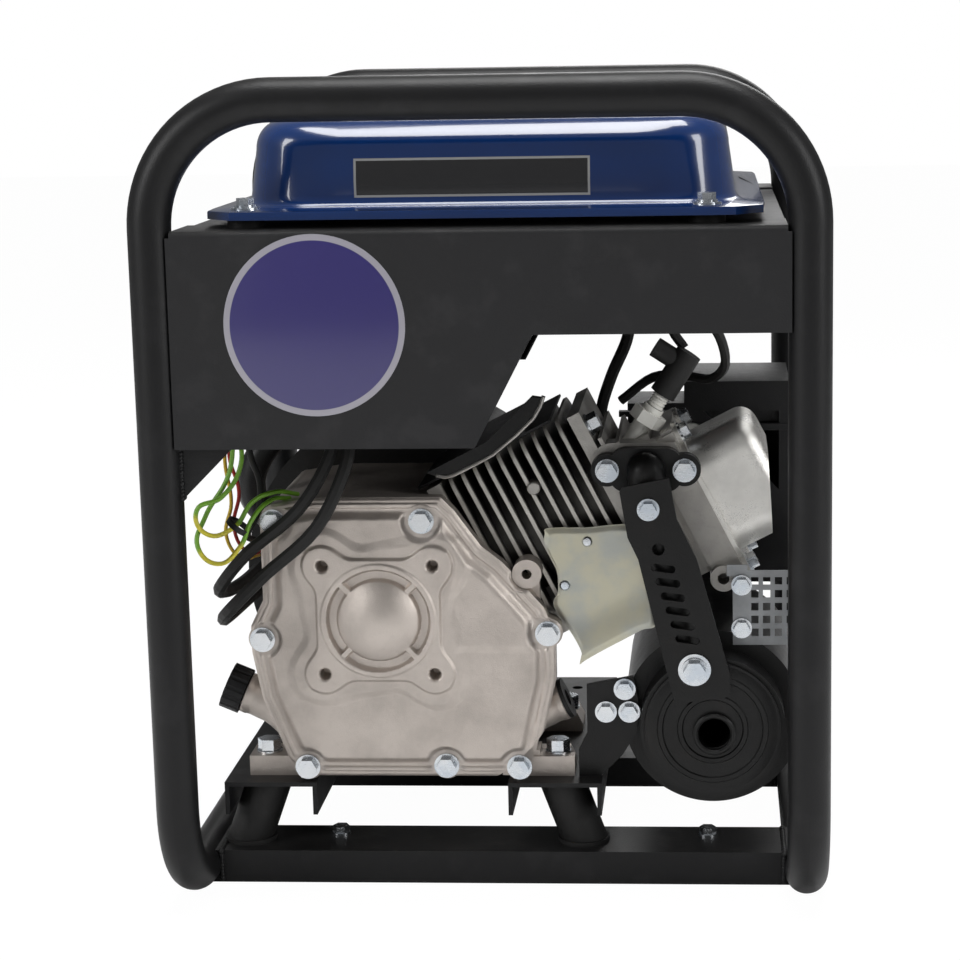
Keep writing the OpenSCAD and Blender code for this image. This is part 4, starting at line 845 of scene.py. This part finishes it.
def brass_cups():
    """The brass sleeve in each weld socket."""
    for k, y in enumerate((-150, -92)):
        turned(f"socket_cup_{k + 1}", [(6.6, 4.2), (8.9, 4.2), (9.3, 3.8), (9.3, -2.0), (6.6, -2.0)], (-201.4, y, 352),
               (-1, 0, 0), 40, BRASS, 35)


PANEL_X, KNOB_Y, KNOB_Z = -196.1, -121, 414  # face of the control panel, and the knob's axis
SCALE_START = 225  # the dial's zero, in degrees


def knob_ticks():
    """Long and short marks round the current knob, printed on the panel."""
    inner, half_width, print_depth = 23.5, 0.45, 0.5
    verts, faces = [], []
    for k in range(19):
        a = math.radians(SCALE_START - 15 * k)
        out, over = Vector((0, -math.cos(a), math.sin(a))), Vector((0, math.sin(a), math.cos(a)))
        outer = inner + (4.0 if k % 2 == 0 else 2.4)
        base = len(verts)
        for depth in (0.0, print_depth):
            for r, w in ((inner, -half_width), (inner, half_width), (outer, half_width), (outer, -half_width)):
                verts.append((Vector((PANEL_X + depth, KNOB_Y, KNOB_Z)) + out * r + over * w) * MM)
        faces += [(base, base + 1, base + 2, base + 3), (base + 4, base + 5, base + 6, base + 7)]
        faces += [(base + i, base + (i + 1) % 4, base + 4 + (i + 1) % 4, base + 4 + i) for i in range(4)]
    piece("knob_ticks", verts, faces, DIAL_WHITE, "frame", 0)


def dial_numbers():
    """Plain numbers 0 to 9 outside the long marks."""
    radius = 31.0
    for k in range(10):
        a = math.radians(SCALE_START - 30 * k)
        curve = bpy.data.curves.new("dial_number", "FONT")
        curve.body, curve.size, curve.extrude = str(k), 0.0052, 0.00015
        curve.align_x = curve.align_y = "CENTER"
        holder = bpy.data.objects.new("dial_number", curve)
        scene.collection.objects.link(holder)
        mesh = bpy.data.meshes.new_from_object(holder.evaluated_get(bpy.context.evaluated_depsgraph_get()))
        bpy.data.objects.remove(holder)
        mesh.transform(Matrix(((0, 0, -1, (PANEL_X + 0.2) * MM), (-1, 0, 0, (KNOB_Y - radius * math.cos(a)) * MM),
                               (0, 1, 0, (KNOB_Z + radius * math.sin(a)) * MM), (0, 0, 0, 1))))
        finished(bpy.data.objects.new(f"dial_number_{k}", mesh), DIAL_WHITE, "frame", 0)


def wiring():
    """Striped earth loops in place of the CAD's, thin loom wires and a conduit behind them."""
    loop = sleeve("earth_loop_1", [
        (-172, -148, 321), (-176, -152, 290), (-192, -158, 262), (-196, -166, 244), (-182, -170, 233),
        (-167, -170, 244), (-159, -164, 262), (-150, -146, 271), (-141, -122, 268)], 1.6, EARTH)
    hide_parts("earth_wires")
    sleeve("earth_loop_2", [
        (-170, -145, 321), (-168, -150, 296), (-180, -160, 276), (-196, -164, 268), (-190, -164, 252),
        (-172, -162, 256), (-160, -156, 272), (-148, -142, 276), (-136, -118, 270)], 1.6, EARTH)
    sleeve("loom_red", [
        (-176, -138, 321), (-178, -138, 300), (-172, -140, 276), (-176, -142, 252), (-170, -140, 236),
        (-164, -132, 232), (-160, -110, 236)], 1.3, RED_WIRE)
    sleeve("loom_yellow", [
        (-180, -134, 321), (-182, -134, 296), (-178, -138, 268), (-182, -140, 246), (-174, -136, 230),
        (-164, -120, 228)], 1.3, YELLOW_WIRE)
    sleeve("loom_black", [
        (-168, -132, 321), (-164, -134, 298), (-158, -138, 282), (-160, -138, 262), (-168, -136, 246),
        (-166, -118, 238)], 2.2, RUBBER)
    sleeve("loom_conduit", [
        (-132, -70, 323), (-150, -76, 310), (-170, -80, 288), (-176, -76, 264), (-168, -68, 246),
        (-157, -62, 236)], 10.0, PLASTIC)


def starter_rope():
    """The recoil rope, a straight run from the drum to the handle's ferrule."""
    drum_end, handle_end = Vector((-125, 145, CRANK_Z)) * MM, Vector((-140, 145, CRANK_Z)) * MM
    rope = bpy.data.objects.new("starter_rope", swept([drum_end, handle_end], 2.0 * MM, 12, 24))
    finished(rope, ROPE, None, 60)
    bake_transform(rope)


def cable_tie(name, centre, axis, radius):
    """A band round a bundle of wires."""
    turned(name, [(radius, -2.0), (radius + 1.1, -1.8), (radius + 1.1, 1.8), (radius, 2.0)], centre, axis, 32,
           PLASTIC, 30)


def plug_ribs():
    """Ribs of the ceramic and a crimp ring on the plug, about the plug's own axis."""
    tilt = math.radians(60) - LEAN
    profile = [(4.9, 17.0), (6.1, 17.4), (6.1, 18.6), (5.2, 19.4)]
    for k in range(3):
        profile += [(5.9, 20.0 + 2.4 * k), (5.9, 20.9 + 2.4 * k), (5.15, 21.6 + 2.4 * k)]
    profile.append((4.9, 27.0))
    turned("plug_ribs", profile, on_cylinder(213, 28, -90), (math.sin(tilt), 0, math.cos(tilt)), 40, CERAMIC,
           30)


def rounded_path(corners, steps):
    """A closed smooth path through corners, with steps points from each to the next."""
    n = len(corners)
    path = []
    for i in range(n):
        a, b, c, d = (Vector(corners[(i + k) % n]) for k in (-1, 0, 1, 2))
        for k in range(steps):
            t = k / steps
            path.append(0.5 * (2 * b + (c - a) * t + (2 * a - 5 * b + 4 * c - d) * t * t
                               + (3 * b - a - 3 * c + d) * t ** 3))
    return path


def deflector_plate():
    """The passivated heat deflector: a pressed sheet with a rolled edge and a slanted lower fold."""
    front, thickness = -126.0, 1.1
    edge = rounded_path([
        (33, 243), (35.5, 247), (60, 247.3), (96, 247), (103, 214), (108.5, 182), (98, 176.5), (84, 169), (70, 161.5),
        (59, 155), (55.5, 152.6), (57, 160), (52.5, 170), (46, 180), (39, 191), (38.5, 197), (41.3, 203), (40.5, 218),
        (33, 235)], 6)
    centre = Vector((68, 208))
    shares = (0.0005, 0.12, 0.24, 0.36, 0.48, 0.60, 0.70, 0.80, 0.88, 0.94, 0.975, 1.0)

    def press(p, share):
        """Depth of the pressing: rolled edge and a soft fold towards the tip."""
        fold = smoothed((190 - p.y + (p.x - 60) * 0.45) / 34)
        return -2.6 * fold + (0.9 if share > 0.96 else 0.0)

    verts = []
    for side in (0, 1):
        for share in shares:
            for p in edge:
                q = centre + (p - centre) * share
                verts.append(Vector((q.x, front + press(q, share) + thickness * side, q.y)) * MM)
    rows, m = len(shares), len(edge)
    faces = []
    for side in (0, 1):
        base = side * rows * m
        faces += bands(rows, m, base)
        faces.append(tuple(base + k for k in range(m)))
    rim, back = (rows - 1) * m, (2 * rows - 1) * m
    faces += [(rim + k, rim + (k + 1) % m, back + (k + 1) % m, back + k) for k in range(m)]
    piece("deflector_plate", verts, faces, OLIVE, "frame", 50, ("heat_deflector",))
    for k, (x, z) in enumerate(((46.2, 207.4), (61.7, 237.8))):
        turned(f"deflector_post_{k + 1}", [(0.0, -1.4), (2.6, -1.2), (3.6, -0.2), (3.8, 0.4), (3.8, 7.8), (0.0, 7.8)],
               (x, front, z), (0, 1, 0), 24, ZINC, 35, False)


def air_cleaner_seam():
    """A stepped lid line round the air cleaner's box."""
    low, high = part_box("air_cleaner")
    x0, x1, y0, y1, z = 0.126, high.x - 0.0002, low.y, high.y, low.z + 0.118
    verts = []
    for out, dz in ((-0.0004, -0.0030), (0.0012, -0.0026), (0.0014, 0.0), (0.0014, 0.0022), (-0.0004, 0.0026)):
        verts += [(x, y, z + dz) for x, y in (
            (x0 - out, y0 - out), (x1, y0 - out), (x1, y1 + out), (x0 - out, y1 + out))]
    piece("air_cleaner_seam", verts, bands(5, 4, 0, True), PLASTIC, "frame", 25)


tank_shell()
round_label()
cover_casting()
oil_neck("left_neck", (-150, -116, 118), -1)
oil_neck("right_neck", (16, -116, 113), 1)
fin_rim()
muffler_face()
brass_cups()
knob_ticks()
dial_numbers()
wiring()
starter_rope()
cable_tie("loom_tie_1", (-168, -163.5, 257), (0.6, 0, 0.8), 8.0)
plug_ribs()
deflector_plate()
air_cleaner_seam()
weld_bead("beam_welds", [[(x, y0, 4), (x, y0, 23.4), (x, y1, 23.4), (x, y1, 4)] for x in (-194.3, 194.3)
                         for y0, y1 in ((-144.4, -90.6), (68.6, 122.4))], FRAME_BLACK, "frame")
weld_bead("gusset_welds", [[(-194.9, y, 285), (-194.9, y, 317)] for y in (-208.2, -203.8, 203.8, 208.2)],
          FRAME_BLACK, "frame")
bolt_ring("housing_bolts", (CRANK_X, 120.6, CRANK_Z), 112, 8, 7.0, ZINC, "frame")
bolt_ring("recoil_bolts", (CRANK_X, 124.6, CRANK_Z), 79, 6, 7.0, ZINC, "frame")
spring_coil("governor_spring", (98, 26, 292), (60, 10, 276), 2.6, 0.45, 15, ZINC, "frame")


# ---------- camera, floor and light ----------
def camera():
    """A long lens in front of the crankcase cover, a little above the tank."""
    yaw, down, roll = -0.0634, 0.1844, 0.0168
    ahead = Vector((math.sin(yaw) * math.cos(down), math.cos(yaw) * math.cos(down), -math.sin(down)))
    level = Vector((math.cos(yaw), -math.sin(yaw), 0.0))
    sink = ahead.cross(level)
    right = level * math.cos(roll) + sink * math.sin(roll)
    below = sink * math.cos(roll) - level * math.sin(roll)
    data = bpy.data.cameras.new("studio_camera")
    data.sensor_width, data.lens = 36.0, 87.206
    data.shift_x, data.shift_y = -0.0904, -0.0036
    data.clip_start = 0.05
    thing = bpy.data.objects.new("studio_camera", data)
    turn = Matrix((right, -below, -ahead)).transposed().to_4x4()
    thing.matrix_world = Matrix.Translation((0.14628, -1.66296, 0.56996)) @ turn
    scene.collection.objects.link(thing)
    scene.camera = thing


def studio():
    """A white floor and world that the camera sees as plain white, and four soft lamps."""
    floor = bpy.data.meshes.new("studio_floor")
    floor.from_pydata([(-6, -6, 0), (6, -6, 0), (6, 9, 0), (-6, 9, 0)], [], [(0, 1, 2, 3)])
    plane = bpy.data.objects.new("studio_floor", floor)
    scene.collection.objects.link(plane)
    f = Finish("studio_floor_white", Roughness=0.9)
    f.put("Base Color", f.mix(f.noise(2.0), (0.86, 0.86, 0.86), (0.84, 0.84, 0.84)))
    rays = f.tree.nodes.new("ShaderNodeLightPath")
    seen = Wire(f, rays.outputs["Is Camera Ray"])
    glow = f.node("ShaderNodeEmission", {}, {"Color": (1, 1, 1, 1), "Strength": 1.02})
    blend = f.node("ShaderNodeMixShader", {}, {0: seen * 0.96, 1: Wire(f, f.shader.outputs[0]), 2: glow}, 0)
    output = next(n for n in f.tree.nodes if n.type == "OUTPUT_MATERIAL")
    f.tree.links.new(blend.socket, output.inputs[0])
    floor.materials.append(f.material)

    world = bpy.data.worlds.new("studio_world")
    scene.world = world
    world.use_nodes = True
    tree = world.node_tree
    tree.nodes.clear()
    path = tree.nodes.new("ShaderNodeLightPath")
    plain, white = tree.nodes.new("ShaderNodeBackground"), tree.nodes.new("ShaderNodeBackground")
    plain.inputs[0].default_value, plain.inputs[1].default_value = (1, 1, 1, 1), 0.20
    white.inputs[0].default_value, white.inputs[1].default_value = (1, 1, 1, 1), 1.0
    join, out = tree.nodes.new("ShaderNodeMixShader"), tree.nodes.new("ShaderNodeOutputWorld")
    tree.links.new(path.outputs["Is Camera Ray"], join.inputs[0])
    tree.links.new(plain.outputs[0], join.inputs[1])
    tree.links.new(white.outputs[0], join.inputs[2])
    tree.links.new(join.outputs[0], out.inputs[0])

    def lamp(name, place, aim, size, power):
        data = bpy.data.lights.new(name, "AREA")
        data.shape, data.size, data.size_y = "RECTANGLE", size[0], size[1]
        data.energy = power
        thing = bpy.data.objects.new(name, data)
        thing.location = place
        thing.rotation_euler = (Vector(aim) - Vector(place)).to_track_quat("-Z", "Y").to_euler()
        scene.collection.objects.link(thing)

    lamp("overhead_box", (0.1, -0.2, 2.4), (0, 0, 0.3), (1.5, 1.1), 50)
    lamp("left_box", (-2.0, -1.6, 1.3), (0, 0, 0.28), (0.8, 1.4), 28)
    lamp("right_box", (2.1, -1.3, 1.1), (0, 0, 0.28), (0.7, 1.3), 22)
    lamp("rear_box", (0.3, 2.3, 1.6), (0, 0, 0.3), (1.6, 0.8), 18)


camera()
studio()
scene.view_settings.view_transform = "Standard"
